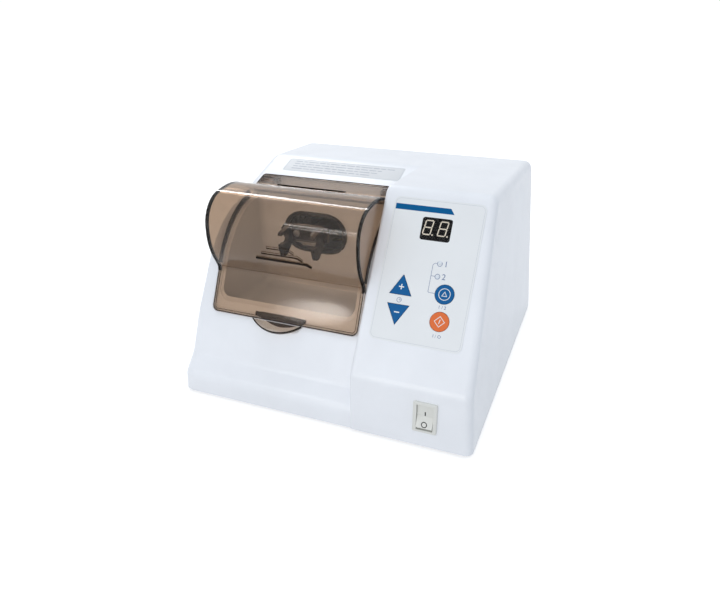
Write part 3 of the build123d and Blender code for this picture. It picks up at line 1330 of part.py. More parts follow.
# ---- control panel parts -----------------------------------------------------------------
def panel_overlay():
    """Printed overlay on the control face, pierced for keys, display and lights."""
    width = PANEL_RIGHT - PANEL_LEFT
    outline = RectangleRounded(width, PANEL_LENGTH, PANEL_CORNER)
    middle = Pos(PANEL_LEFT + width / 2, -PANEL_TOP - PANEL_LENGTH / 2)
    plate = slab(CONTROL_FACE, middle * outline, 0, OVERLAY)
    for name in KEYS:
        plate -= slab(CONTROL_FACE, key_outline(name, KEY_GAP), 0, OVERLAY)
    plate -= slab(CONTROL_FACE, lens_outline(GLUE_LINE), 0, OVERLAY)
    for down in LED_DOWNS:
        plate -= slab(CONTROL_FACE, Pos(LED_X, -down) * Circle(LED_RADIUS + RUNNING_GAP), 0, OVERLAY)
    return plate


def display_lens():
    """Clear window let into the overlay."""
    return slab(CONTROL_FACE, lens_outline(0), 0, OVERLAY)


def display_module():
    """Two-digit module that comes up through the wall to just under its window."""
    return slab(CONTROL_FACE, module_outline(0), -BOARD_DEEP, -GLUE_LINE)


def mode_leds():
    leds = []
    for down in LED_DOWNS:
        led = slab(CONTROL_FACE, Pos(LED_X, -down) * Circle(LED_RADIUS), -BOARD_DEEP, OVERLAY)
        flange = Pos(LED_X, -down) * Circle(LED_FLANGE)
        led += slab(CONTROL_FACE, flange, -BOARD_DEEP, LED_FLANGE_TALL - BOARD_DEEP)
        dome = Sphere(LED_RADIUS) & Cylinder(LED_RADIUS * 2, 2 * LED_PROUD)
        led += on_plane(CONTROL_FACE, LED_X, -down, OVERLAY, dome)
        leds.append(led)
    return group(leds)


def tact_switches():
    solids = []
    for x, down, sign in KEYS.values():
        middle = Pos(x, -down)
        body_top = TACT_TALL * 0.8 - BOARD_DEEP
        body = slab(CONTROL_FACE, middle * Rectangle(TACT_SIDE, TACT_SIDE), -BOARD_DEEP, body_top)
        body += slab(CONTROL_FACE, middle * Circle(TACT_SIDE / 4), -BOARD_DEEP, -BOARD_DEEP + TACT_TALL)
        solids.append(body)
    return group(solids)


def control_board():
    middle = Pos(BOARD_LEFT + BOARD_WIDTH / 2, -BOARD_TOP - BOARD_LENGTH / 2)
    board = slab(CONTROL_FACE, middle * Rectangle(BOARD_WIDTH, BOARD_LENGTH), -BOARD_BACK, -BOARD_DEEP)
    for x, y in board_holes():
        board -= slab(CONTROL_FACE, Pos(x, y) * Circle(SCREW_RADIUS + RUNNING_GAP), -BOARD_BACK, -BOARD_DEEP)
    return board


def board_screws():
    back_plane = CONTROL_FACE.offset(-BOARD_BACK)
    length = BOARD_THICK + BOARD_DEEP - WALL - 2 * SCREW_SHORT
    return group(back_plane * Pos(x, y, 0) * screw(length) for x, y in board_holes())


def board_parts():
    """Controller chip, relay, sounder and connector behind the control board."""
    under = CONTROL_FACE.offset(-BOARD_BACK)
    chip_place = Pos(DISPLAY_X, -DISPLAY_DOWN - CHIP_BELOW)
    chip = slab(under, chip_place * Rectangle(CHIP_WIDE, CHIP_LONG), -CHIP_THICK, 0)
    relay = slab(under, Pos(TIME_KEY_X, -DISPLAY_DOWN) * Rectangle(RELAY_WIDE, RELAY_LONG), -RELAY_WIDE, 0)
    sounder = slab(under, Pos(ROUND_KEY_X, -SELECT_KEY_DOWN) * Circle(SOUNDER_RADIUS), -SOUNDER_TALL, 0)
    connector = slab(under, Pos(DISPLAY_X, -DOWN_KEY_DOWN) * Rectangle(PLUG_WIDE, PLUG_LONG), -PLUG_TALL, 0)
    return group([chip, relay, sounder, connector])


# ---- mains switch ------------------------------------------------------------------------
def switch_frame():
    """Bezel and body of the mains switch."""
    plane = BAND_FACE
    middle = Pos(SWITCH_X, SWITCH_HEIGHT)
    bezel = slab(plane, middle * RectangleRounded(BEZEL_WIDTH, BEZEL_TALL, BEZEL_CORNER), 0, BEZEL_THICK)
    bezel = chamfer(bezel.faces().sort_by(Axis.Y)[0].edges(), BEZEL_CHAMFER)
    frame = bezel + slab(plane, middle * Rectangle(SWITCH_BODY_WIDTH, SWITCH_BODY_TALL), -SWITCH_BODY_DEEP, 0)
    opening = Rectangle(ROCKER_WIDTH + 2 * ROCKER_GAP, 2 * (ROCKER_RADIUS + ROCKER_GAP))
    frame -= slab(plane, middle * opening, -SWITCH_HOLLOW, BEZEL_THICK)
    axle = Rot(0, 90, 0) * Cylinder(AXLE_RADIUS + RUNNING_GAP, ROCKER_WIDTH + 2 * (ROCKER_GAP + AXLE_STUB))
    return frame - on_plane(plane, SWITCH_X, SWITCH_HEIGHT, -PIVOT_DEEP, axle)


def power_rocker():
    """Rocker with a shallow valley, resting with its upper end pressed in."""
    reach = sqrt(ROCKER_RADIUS ** 2 - ROCKER_END ** 2)
    low_reach = sqrt(ROCKER_RADIUS ** 2 - ROCKER_SHOULDER ** 2)
    points = [
        (-reach, ROCKER_END),
        (0, ROCKER_VALLEY),
        (reach, ROCKER_END),
        (low_reach, -ROCKER_SHOULDER),
        (ROCKER_RADIUS / 2, -ROCKER_KEEL),
        (-ROCKER_RADIUS / 2, -ROCKER_KEEL),
        (-low_reach, -ROCKER_SHOULDER),
    ]
    face = make_face(Polyline(*points, close=True))
    half = ROCKER_WIDTH / 2
    bar = extrude(Plane.YZ.offset(-half) * face, amount=ROCKER_WIDTH)
    ridge = [e for e in bar.edges().filter_by(Axis.X) if e.center().Z > (ROCKER_VALLEY + ROCKER_END) / 2]
    bar = fillet(ridge, ROCKER_SOFT)
    bar += Rot(0, 90, 0) * Cylinder(AXLE_RADIUS, ROCKER_WIDTH + 2 * (ROCKER_GAP + AXLE_STUB) - FIT_GAP)
    turned = Rot(ROCKER_SWING / -2, 0, 0) * bar
    return on_plane(BAND_FACE, SWITCH_X, SWITCH_HEIGHT, -PIVOT_DEEP, turned)


def switch_terminals():
    blades = []
    for side in (-1, 1):
        for row in (-1, 1):
            outline = Pos(SWITCH_X + side * TERMINAL_HALF, SWITCH_HEIGHT + row * TERMINAL_PITCH / 2)
            outline = outline * Rectangle(TERMINAL_THICK, TERMINAL_WIDTH)
            blades.append(slab(BAND_FACE, outline, -SWITCH_BODY_DEEP - TERMINAL_LENGTH, -SWITCH_BODY_DEEP))
    return group(blades)


# ---- lid safety switch -------------------------------------------------------------------
def interlock_plunger():
    """Pin through the front seat, held down by the closed lid."""
    middle = Pos(INTERLOCK_X, INTERLOCK_UP)
    collar_top = -WALL - INTERLOCK_TRAVEL - FIT_GAP
    pin = slab(FRONT_SEAT, middle * Circle(INTERLOCK_PIN), collar_top - INTERLOCK_COLLAR_THICK, FIT_GAP / 2)
    collar_bottom = collar_top - INTERLOCK_COLLAR_THICK
    return pin + slab(FRONT_SEAT, middle * Circle(INTERLOCK_COLLAR), collar_bottom, collar_top)


def interlock_switch():
    """Snap-action switch under the plunger, on a bracket glued behind the seat."""
    wide, tall, deep = INTERLOCK_BODY
    low = INTERLOCK_UP - INTERLOCK_LOW
    middle = Pos(INTERLOCK_X, low)
    top = -WALL - INTERLOCK_TRAVEL - FIT_GAP - INTERLOCK_COLLAR_THICK - FIT_GAP
    body = slab(FRONT_SEAT, middle * Rectangle(wide, tall), top - deep, top)
    for side in (-1, 1):
        leg = Pos(INTERLOCK_X + side * (wide + INTERLOCK_LEG) / 2, low) * Rectangle(INTERLOCK_LEG, tall)
        body += slab(FRONT_SEAT, leg, top - deep, -WALL - GLUE_LINE)
    return body


# ---- mains inlet -------------------------------------------------------------------------
def inlet_body():
    """Flanged inlet with an appliance socket below a fuse drawer."""
    middle = rear_place(INLET_X, INLET_HEIGHT)
    body = slab(BACK_FACE, middle * RectangleRounded(INLET_WIDTH, INLET_TALL, INLET_CORNER), 0, INLET_FLANGE)
    body += slab(BACK_FACE, middle * Rectangle(INLET_BODY_WIDTH, INLET_BODY_TALL), -INLET_BODY_DEEP, 0)
    socket = Rectangle(SOCKET_WIDTH, SOCKET_TALL)
    socket = chamfer(socket.vertices().sort_by(Axis.Y)[-2:], SOCKET_CHAMFER)
    socket_middle = rear_place(INLET_X, INLET_HEIGHT - SOCKET_DROP)
    body -= slab(BACK_FACE, socket_middle * socket, INLET_FLANGE - SOCKET_DEEP, INLET_FLANGE)
    drawer = Rectangle(DRAWER_WIDTH + 2 * DRAWER_GAP, DRAWER_TALL + 2 * DRAWER_GAP)
    drawer_middle = rear_place(INLET_X, INLET_HEIGHT + DRAWER_RISE)
    body -= slab(BACK_FACE, drawer_middle * drawer, INLET_FLANGE - DRAWER_DEEP - DRAWER_GAP, INLET_FLANGE)
    for side in (-1, 1):
        place = rear_place(INLET_X + side * INLET_SCREW_HALF, INLET_HEIGHT)
        hole = place * Circle(SCREW_RADIUS + RUNNING_GAP)
        body -= slab(BACK_FACE, hole, 0, INLET_FLANGE)
    return body


def inlet_pins():
    pins = []
    floor = INLET_FLANGE - SOCKET_DEEP
    for side, rise in ((-1, 0), (0, PIN_EARTH_RISE), (1, 0)):
        middle = rear_place(INLET_X + side * PIN_SPREAD, INLET_HEIGHT - SOCKET_DROP - PIN_DROP + rise)
        pin = slab(BACK_FACE, middle * Rectangle(PIN_WIDTH, PIN_TALL), floor, floor + PIN_LENGTH)
        pin = chamfer(pin.faces().sort_by(Axis.Y)[-1].edges(), PIN_CHAMFER)
        pins.append(pin)
    return group(pins)


def inlet_screws():
    solids = []
    for side in (-1, 1):
        place = BACK_FACE.offset(INLET_FLANGE) * rear_place(INLET_X + side * INLET_SCREW_HALF, INLET_HEIGHT)
        solids.append(place * Rot(180, 0, 0) * screw(INLET_FLANGE + WALL + INLET_SCREW_PAST))
    return group(solids)


def fuse_drawer():
    """Pull-out drawer that holds a working fuse and a spare."""
    middle = rear_place(INLET_X, INLET_HEIGHT + DRAWER_RISE)
    inner_end = INLET_FLANGE - DRAWER_DEEP
    outline = middle * Rectangle(DRAWER_WIDTH, DRAWER_TALL)
    drawer = slab(BACK_FACE, outline, inner_end, INLET_FLANGE + DRAWER_LIP)
    tray = Rectangle(FUSE_LENGTH + FUSE_GAP, DRAWER_TALL)
    tray_middle = rear_place(INLET_X, INLET_HEIGHT + DRAWER_RISE + DRAWER_FLOOR)
    drawer -= slab(BACK_FACE, tray_middle * tray, inner_end + DRAWER_END, -DRAWER_FRONT)
    return drawer


def fuses():
    solids = []
    level = INLET_FLANGE - DRAWER_DEEP + DRAWER_END + FUSE_RADIUS + FIT_GAP
    y = INLET_HEIGHT + DRAWER_RISE - DRAWER_TALL / 2 + DRAWER_FLOOR + FUSE_RADIUS
    tube = Rot(0, 90, 0) * Cylinder(FUSE_RADIUS, FUSE_LENGTH)
    for step in (0, 2 * FUSE_RADIUS + FUSE_GAP):
        solids.append(on_plane(BACK_FACE, -INLET_X, y, level + step, tube))
    return group(solids)


# ---- power supply ------------------------------------------------------------------------
def power_board():
    bottom = BASE_TOP + POWER_BOARD_RISE
    x_to = POWER_BOARD_LEFT + POWER_BOARD_WIDTH
    y_to = POWER_BOARD_FRONT + POWER_BOARD_LENGTH
    board = brick(POWER_BOARD_LEFT, x_to, POWER_BOARD_FRONT, y_to, bottom, bottom + BOARD_THICK)
    for x, depth in power_board_places():
        board -= column(SCREW_RADIUS + RUNNING_GAP, x, depth, bottom, bottom + BOARD_THICK)
    return board


def power_board_spacers():
    solids = []
    for x, depth in power_board_places():
        tube = column(STANDOFF, x, depth, BASE_TOP, BASE_TOP + POWER_BOARD_RISE)
        bore = column(SCREW_RADIUS + PRESS_GAP, x, depth, BASE_TOP, BASE_TOP + POWER_BOARD_RISE)
        solids.append(tube - bore)
    return group(solids)


def power_board_screws():
    solids = []
    reach = POWER_BOARD_RISE / 2 - SCREW_SHORT
    for x, depth in power_board_places():
        solids.append(Pos(x, back(depth), up(BASE_RECESS)) * screw(BASE_THICK + reach))
        top = BASE_TOP + POWER_BOARD_RISE + BOARD_THICK
        solids.append(Pos(x, back(depth), up(top)) * Rot(180, 0, 0) * screw(BOARD_THICK + reach))
    return group(solids)


def power_board_parts():
    """Capacitors, heat sink, relay and terminal block on the power board."""
    top = BASE_TOP + POWER_BOARD_RISE + BOARD_THICK
    left = POWER_BOARD_LEFT + PART_SPACE
    right = POWER_BOARD_LEFT + POWER_BOARD_WIDTH - PART_SPACE
    depth = POWER_BOARD_FRONT + 2 * PART_SPACE
    can_x = left + CAPACITOR_RADIUS
    can_depth = depth + CAPACITOR_RADIUS
    capacitor = column(CAPACITOR_RADIUS, can_x, can_depth, top, top + CAPACITOR_TALL)
    small_radius = CAPACITOR_RADIUS * SMALL_CAPACITOR
    small_depth = can_depth + CAPACITOR_RADIUS + small_radius + PART_SPACE
    small = column(small_radius, can_x, small_depth, top, top + CAPACITOR_TALL * SMALL_CAPACITOR)
    sink_wide = (right - left) * 0.3
    sink_left = right - sink_wide
    sink = brick(sink_left, right, depth, depth + SINK_LONG, top, top + SINK_BASE)
    for count in range(SINK_FINS):
        fin = sink_left + count * (sink_wide - SINK_FIN) / (SINK_FINS - 1)
        sink += brick(fin, fin + SINK_FIN, depth, depth + SINK_LONG, top + SINK_BASE, top + SINK_TALL)
    relay_front = depth + SINK_LONG + PART_SPACE / 2
    relay = brick(left, left + RELAY_LONG, relay_front, relay_front + RELAY_WIDE, top, top + RELAY_WIDE)
    block_front = relay_front + RELAY_WIDE + PART_SPACE
    terminals = brick(left, right, block_front, block_front + BLOCK_LONG, top, top + BLOCK_TALL)
    return group([capacitor, small, sink, relay, terminals])


def transformer_core():
    """Laminated core with a mounting strap, standing on the base."""
    half = TRANSFORMER_WIDTH / 2
    thick = TRANSFORMER_THICK / 2
    front = TRANSFORMER_DEPTH - thick
    rear = TRANSFORMER_DEPTH + thick
    top = BASE_TOP + TRANSFORMER_TALL
    core = brick(TRANSFORMER_X - half, TRANSFORMER_X + half, front, rear, BASE_TOP, top)
    window = TRANSFORMER_WIDTH / 2 - 2 * TRANSFORMER_LIMB
    for side in (-1, 1):
        inner = TRANSFORMER_X + side * TRANSFORMER_LIMB
        pair = sorted((inner, inner + side * window))
        core -= brick(*pair, front, rear, BASE_TOP + TRANSFORMER_LIMB, top - TRANSFORMER_LIMB)
    for x, depth in transformer_ears():
        side = 1 if x > TRANSFORMER_X else -1
        pair = sorted((TRANSFORMER_X + side * half, x + side * POST_RADIUS))
        ear = brick(*pair, depth - POST_RADIUS, depth + POST_RADIUS, BASE_TOP, BASE_TOP + EAR_THICK)
        core += ear - column(SCREW_RADIUS + RUNNING_GAP, x, depth, BASE_TOP, BASE_TOP + EAR_THICK)
    return core


def transformer_coil():
    """Winding round the core's middle limb."""
    gap = FIT_GAP
    window = TRANSFORMER_WIDTH / 2 - 2 * TRANSFORMER_LIMB
    outer_x = TRANSFORMER_LIMB + window - gap
    outer_y = TRANSFORMER_THICK / 2 + COIL_OVERHANG
    low = BASE_TOP + TRANSFORMER_LIMB + gap
    high = BASE_TOP + TRANSFORMER_TALL - TRANSFORMER_LIMB - gap
    coil = brick(
        TRANSFORMER_X - outer_x, TRANSFORMER_X + outer_x,
        TRANSFORMER_DEPTH - outer_y, TRANSFORMER_DEPTH + outer_y, low, high,
    )
    coil = fillet(coil.edges().filter_by(Axis.Z), COIL_ROUNDING)
    inner_x = TRANSFORMER_LIMB + gap
    inner_y = TRANSFORMER_THICK / 2 + gap
    coil -= brick(
        TRANSFORMER_X - inner_x, TRANSFORMER_X + inner_x,
        TRANSFORMER_DEPTH - inner_y, TRANSFORMER_DEPTH + inner_y, low, high,
    )
    return coil


def transformer_screws():
    solids = []
    for x, depth in transformer_ears():
        solids.append(Pos(x, back(depth), up(BASE_RECESS)) * screw(BASE_THICK + EAR_THICK))
    return group(solids)


# ---- the assembly ------------------------------------------------------------------------
PARTS = [
    top_housing, base_plate, rubber_feet, foot_screws, housing_screws, mixing_chamber, arm_port_trim,
    lid, lid_pins, interlock_plunger, interlock_switch,
    drive_chassis, vibration_mounts, mount_screws, left_bearing, motor_can, motor_screws, motor_magnets,
    rotor_shaft, armature, motor_fan, skew_hub, hub_bearing, spring_cup, arm_spring,
    mixing_arm, capsule_clip, clip_screws,
    panel_overlay, display_lens, display_module, mode_leds, tact_switches,
    control_board, board_screws, board_parts,
    switch_frame, power_rocker, switch_terminals,
    inlet_body, inlet_pins, inlet_screws, fuse_drawer, fuses,
    power_board, power_board_spacers, power_board_screws, power_board_parts,
    transformer_core, transformer_coil, transformer_screws,
]

os.makedirs("parts", exist_ok=True)
for part in PARTS:
    save(part.__name__, part())
for key_name in KEYS:
    save(key_name, key_cap(key_name))
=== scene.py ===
# %% [markdown]
# # A dental capsule mixer, dressed for the studio
# The machine is a white moulded box with a smoked lid over its mixing chamber and a sloped
# control panel beside it. Its solids come ready made as a fixed frame. What is made here is
# everything that the eye adds to them: finishes, printed marks, a display's segments, the
# lights, the floor and the camera. The frame is in metres, so millimetres are turned into
# metres once, with MM.

# %% Load the fixed frame
import bpy
from math import cos, log, pi, radians, sin
from mathutils import Matrix, Vector


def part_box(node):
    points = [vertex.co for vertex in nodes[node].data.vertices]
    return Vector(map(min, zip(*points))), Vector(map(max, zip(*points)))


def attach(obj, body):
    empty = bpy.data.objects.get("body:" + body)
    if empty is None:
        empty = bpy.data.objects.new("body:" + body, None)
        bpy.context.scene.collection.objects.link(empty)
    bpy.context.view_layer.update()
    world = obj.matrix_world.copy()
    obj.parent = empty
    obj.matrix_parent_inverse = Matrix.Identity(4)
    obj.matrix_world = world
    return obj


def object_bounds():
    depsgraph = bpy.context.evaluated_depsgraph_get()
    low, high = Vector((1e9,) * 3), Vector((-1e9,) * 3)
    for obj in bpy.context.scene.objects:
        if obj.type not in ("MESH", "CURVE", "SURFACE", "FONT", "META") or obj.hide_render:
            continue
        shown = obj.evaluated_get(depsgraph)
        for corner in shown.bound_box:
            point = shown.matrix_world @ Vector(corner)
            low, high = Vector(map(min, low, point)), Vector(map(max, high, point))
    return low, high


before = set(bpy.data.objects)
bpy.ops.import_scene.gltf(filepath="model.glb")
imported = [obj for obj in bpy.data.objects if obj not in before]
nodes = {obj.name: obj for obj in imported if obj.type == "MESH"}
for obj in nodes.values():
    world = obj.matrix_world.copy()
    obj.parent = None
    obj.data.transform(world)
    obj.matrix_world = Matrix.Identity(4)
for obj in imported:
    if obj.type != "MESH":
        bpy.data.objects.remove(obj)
cad_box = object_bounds()
MM = 0.001
print("solid nodes:", len(nodes))
print("box of the whole machine:", cad_box)

# %% [markdown]
# ## Camera
# A product picture is usually taken from a little above and to one side, from about twice the
# object's size away. Three angles turn the camera as a tripod head does: round, down, and a
# slight tilt to the side. The rotation matrix is built from its own three axes.

# %% Place the camera
CAMERA_PLACE = Vector((207.0, -528.1, 347.8)) * MM
CAMERA_TURN = radians(22.59)
CAMERA_DOWN = radians(27.75)
CAMERA_TILT = radians(-1.40)
LENS = 33.06

forward = Vector((
    -sin(CAMERA_TURN) * cos(CAMERA_DOWN), cos(CAMERA_TURN) * cos(CAMERA_DOWN), -sin(CAMERA_DOWN)))
level = Vector((cos(CAMERA_TURN), sin(CAMERA_TURN), 0))
upright = level.cross(forward)
right = level * cos(CAMERA_TILT) + upright * sin(CAMERA_TILT)
top = upright * cos(CAMERA_TILT) - level * sin(CAMERA_TILT)

bpy.ops.object.camera_add()
camera = bpy.context.object
camera.name = "studio_camera"
camera.data.sensor_width = 36
camera.data.lens = LENS
camera.data.clip_start = 0.01
camera.matrix_world = Matrix.Translation(CAMERA_PLACE) @ Matrix((right, top, -forward)).transposed().to_4x4()
bpy.context.scene.camera = camera
print("camera looks along", tuple(round(v, 3) for v in forward))

# %% [markdown]
# ## Building materials from nodes
# Each finish is one Principled shader with small procedural patterns plugged into it. Short
# helpers keep the finishes readable: paint turns the familiar 0 to 255 colour values into the
# linear ones that Blender computes with, put sets sockets, add makes a node, and join wires
# two sockets.

# %% Helpers for colours and nodes
def paint(red, green, blue):
    """A colour as seen on a screen, in Blender's linear values."""
    values = []
    for part in (red, green, blue):
        share = part / 255
        values.append(share / 12.92 if share <= 0.04045 else ((share + 0.055) / 1.055) ** 2.4)
    return (*values, 1)


def shade(colour, factor):
    """The same colour, lighter or darker."""
    return (*(min(1, part * factor) for part in colour[:3]), 1)


def put(node, **values):
    """Sets some of a node's sockets. Underscores stand for spaces."""
    for name, value in values.items():
        node.inputs[name.replace("_", " ")].default_value = value
    return node


def add(finish, kind, **values):
    """A node of this kind, with some of its sockets set."""
    return put(finish.node_tree.nodes.new(kind), **values)


def join(finish, source, target):
    """A wire from an output socket to an input socket."""
    finish.node_tree.links.new(source, target)


print("white plastic in linear values:", tuple(round(v, 3) for v in paint(238, 241, 247)[:3]))

# %% [markdown]
# A new finish starts with a bare Principled shader. Patterns read Object coordinates, so they
# sit still in the piece, and their sizes are in millimetres: as the frame is in metres, a
# noise of scale 1000 has features of about a millimetre.

# %% Helpers for a new finish and its patterns
def new_finish(name, colour, roughness, metallic=0.0):
    """A material with one Principled shader, and that shader."""
    finish = bpy.data.materials.new(name)
    finish.use_nodes = True
    finish.diffuse_color = colour
    shader = finish.node_tree.nodes["Principled BSDF"]
    return finish, put(shader, Base_Color=colour, Roughness=roughness, Metallic=metallic)


def placed(finish, node):
    """The same texture or mapping node, placed by the piece's own coordinates."""
    place = add(finish, "ShaderNodeTexCoord")
    join(finish, place.outputs["Object"], node.inputs["Vector"])
    return node


def grain(finish, size, detail=2.0, stretch=(1, 1, 1)):
    """Noise whose features are about this many millimetres across."""
    turn = placed(finish, add(finish, "ShaderNodeMapping", Scale=stretch))
    noise = add(finish, "ShaderNodeTexNoise", Scale=1 / (size * MM), Detail=detail)
    join(finish, turn.outputs["Vector"], noise.inputs["Vector"])
    return noise.outputs["Fac"]


def spread(finish, pattern, low, high):
    """A pattern that runs about 0.3 to 0.7, spread over a new range."""
    span = add(finish, "ShaderNodeMapRange", From_Min=0.3, From_Max=0.7, To_Min=low, To_Max=high)
    join(finish, pattern, span.inputs["Value"])
    return span.outputs["Result"]


def two_tone(finish, shader, pattern, first, second):
    """Colours the shader with two colours that a pattern mixes."""
    mix = add(finish, "ShaderNodeMix")
    mix.data_type = "RGBA"
    join(finish, spread(finish, pattern, 0, 1), mix.inputs["Factor"])
    mix.inputs[6].default_value = first
    mix.inputs[7].default_value = second
    join(finish, mix.outputs[2], shader.inputs["Base Color"])


def wear(finish, shader, pattern, low, high):
    """Lets a pattern move the roughness between two values."""
    join(finish, spread(finish, pattern, low, high), shader.inputs["Roughness"])


def relief(finish, shader, pattern, height):
    """Raises the surface by a pattern, to a height in millimetres."""
    bump = add(finish, "ShaderNodeBump", Strength=1.0, Distance=height * MM)
    join(finish, pattern, bump.inputs["Height"])
    join(finish, bump.outputs["Normal"], shader.inputs["Normal"])


print("pattern helpers ready")

# %% [markdown]
# ## Moulded plastics
# An etched mould gives a fine grain that breaks up reflections, and the melt leaves very
# faint, broad mottling. So a moulded finish has a grain for the relief, a second pattern for
# the roughness, and a broad one that moves the colour by a few percent.

# %% Moulded plastic
def moulded(name, colour, roughness, grain_size=0.5, grain_height=0.01, mottling=0.03, gloss_coat=0.0,
            shine=0.5):
    """Plastic from an etched mould. Less shine keeps a dark colour deep under bright light."""
    finish, shader = new_finish(name, colour, roughness)
    put(shader, Specular_IOR_Level=shine, Coat_Weight=gloss_coat, Coat_Roughness=0.15)
    broad = grain(finish, 35, 3)
    two_tone(finish, shader, broad, shade(colour, 1 - mottling), shade(colour, 1 + mottling / 2))
    wear(finish, shader, grain(finish, 6, 4), roughness - 0.06, roughness + 0.06)
    relief(finish, shader, grain(finish, grain_size), grain_height)
    return finish


housing_plastic = moulded("housing_plastic", paint(238, 241, 246), 0.34, gloss_coat=0.15)
chamber_plastic = moulded("chamber_plastic", paint(226, 228, 232), 0.34, grain_height=0.005, mottling=0.02)
black_plastic = moulded("black_plastic", paint(26, 26, 28), 0.45, grain_size=0.4, shine=0.25)
module_black = moulded("module_black", paint(14, 14, 17), 0.5, grain_size=0.4, grain_height=0.003, shine=0.1)
switch_grey = moulded("switch_grey", paint(222, 223, 218), 0.42, grain_size=0.3)
milky_lens = moulded("milky_lens", paint(224, 231, 238), 0.3, grain_size=0.8, grain_height=0.004)
blue_key = moulded("blue_key", paint(5, 92, 152), 0.42, grain_size=0.25, grain_height=0.006, shine=0.18)
orange_key = moulded("orange_key", paint(228, 116, 62), 0.42, grain_size=0.25, grain_height=0.006, shine=0.2)
print("moulded finishes:", [f.name for f in bpy.data.materials])

# %% [markdown]
# The control panel's film is polyester with a fine texture pressed into it. Rubber is dull
# and slightly dusty, so its lighter second tone follows a middle-sized noise.

# %% Film and rubber
def textured_film():
    """Polyester film with a pressed fine texture."""
    colour = paint(233, 236, 238)
    finish, shader = new_finish("overlay_film", colour, 0.5)
    two_tone(finish, shader, grain(finish, 25, 2), shade(colour, 0.985), shade(colour, 1.01))
    wear(finish, shader, grain(finish, 3, 3), 0.44, 0.56)
    relief(finish, shader, grain(finish, 0.3), 0.008)
    return finish


def rubber(name, colour):
    """Dull moulded rubber with a little dust in its pores."""
    finish, shader = new_finish(name, colour, 0.8)
    two_tone(finish, shader, grain(finish, 4, 5), colour, shade(colour, 1.9))
    wear(finish, shader, grain(finish, 2, 3), 0.7, 0.9)
    relief(finish, shader, grain(finish, 0.6, 4), 0.03)
    put(shader, Sheen_Weight=0.15)
    return finish


overlay_film = textured_film()
black_rubber = rubber("black_rubber", paint(27, 26, 26))
mount_rubber = rubber("mount_rubber", paint(46, 45, 44))
print("film and rubber ready")

# %% [markdown]
# ## Metals
# Rolled and drawn metal shows fine lines along the way it was worked. Noise makes them when
# it is stretched hard along one axis: small numbers pull the pattern out. The lines change
# the roughness and the relief, which smears highlights across them.

# %% Worked metal
def worked_metal(name, colour, roughness, stretch=(0.04, 1, 1), line_size=0.5):
    """Metal with fine lines along one axis and faint clouding."""
    finish, shader = new_finish(name, colour, roughness, metallic=1.0)
    lines = grain(finish, line_size, 4, stretch)
    two_tone(finish, shader, grain(finish, 9, 4), shade(colour, 0.86), shade(colour, 1.05))
    wear(finish, shader, lines, roughness - 0.08, roughness + 0.1)
    relief(finish, shader, lines, 0.006)
    return finish


steel_sheet = worked_metal("steel_sheet", paint(190, 193, 197), 0.36)
steel_bright = worked_metal("steel_bright", paint(204, 205, 206), 0.2, stretch=(1, 0.05, 0.05), line_size=0.3)
screw_steel = worked_metal("screw_steel", paint(176, 179, 184), 0.3, stretch=(1, 1, 0.2), line_size=0.2)
spring_steel = worked_metal("spring_steel", paint(92, 86, 80), 0.34, stretch=(0.1, 1, 1))
dark_spring = worked_metal("dark_spring", paint(58, 54, 52), 0.42, stretch=(0.1, 1, 1))
brass_pin = worked_metal("brass_pin", paint(206, 176, 104), 0.24, stretch=(1, 0.06, 1), line_size=0.2)
print("worked metals ready")

# %% [markdown]
# Cast and pressed parts have no lines but a sandy skin, and a winding is a stack of round
# wires. For the winding a Wave texture is closer than a noise: its bands are the turns of
# the wire under the varnish.

# %% Cast, sintered, wound and printed finishes
def sandy_metal(name, colour, roughness, metallic):
    """Cast or sintered metal with a sandy skin."""
    finish, shader = new_finish(name, colour, roughness, metallic)
    two_tone(finish, shader, grain(finish, 5, 5), shade(colour, 0.8), shade(colour, 1.15))
    wear(finish, shader, grain(finish, 2, 4), roughness - 0.1, roughness + 0.12)
    relief(finish, shader, grain(finish, 0.7, 4), 0.04)
    return finish


def banded(name, first, second, pitch, axis, metallic, roughness):
    """Bands of two colours at a pitch in millimetres: wire turns or stacked sheets."""
    finish, shader = new_finish(name, first, roughness, metallic)
    wave = add(finish, "ShaderNodeTexWave", Scale=1 / (3.2 * pitch * MM), Distortion=0.4, Detail=1.0)
    wave.bands_direction = axis
    placed(finish, wave)
    two_tone(finish, shader, wave.outputs["Fac"], first, second)
    relief(finish, shader, wave.outputs["Fac"], 0.1)
    return finish


def solder_mask():
    """A circuit board's green varnish over faint copper tracks."""
    green = paint(24, 92, 58)
    finish, shader = new_finish("circuit_board", green, 0.32)
    tracks = placed(finish, add(finish, "ShaderNodeTexBrick", Scale=1 / (12 * MM), Mortar_Size=0.03))
    two_tone(finish, shader, tracks.outputs["Fac"], green, paint(46, 128, 84))
    relief(finish, shader, tracks.outputs["Fac"], 0.05)
    return finish


alloy = sandy_metal("alloy", paint(168, 168, 170), 0.42, 1.0)
magnet = sandy_metal("magnet", paint(52, 51, 52), 0.6, 0.3)
core_iron = banded("core_iron", paint(70, 71, 74), paint(112, 113, 118), 0.7, "Y", 0.8, 0.5)
copper_coil = banded("copper_coil", paint(150, 78, 40), paint(206, 128, 80), 0.8, "Z", 0.9, 0.35)
circuit_board = solder_mask()
print("cast, wound and printed finishes ready")

# %% [markdown]
# ## Clear parts
# The lid is smoked acrylic. Its tint is in the sheet, not on it, so a look through the flat
# wall is light brown while its edges, where light runs a long way inside, are almost black.
# A Volume Absorption node gives just that. Light from lamps isn't traced through clear
# walls well, so for lamp rays the shader is swapped for a Transparent one by Light Path.

# %% Clear plastic, tinted through its thickness
LID_WALL = 2.5
FILTER_WALL = 0.6
SMEARS = 0.02
NO_LIGHT = 0.001


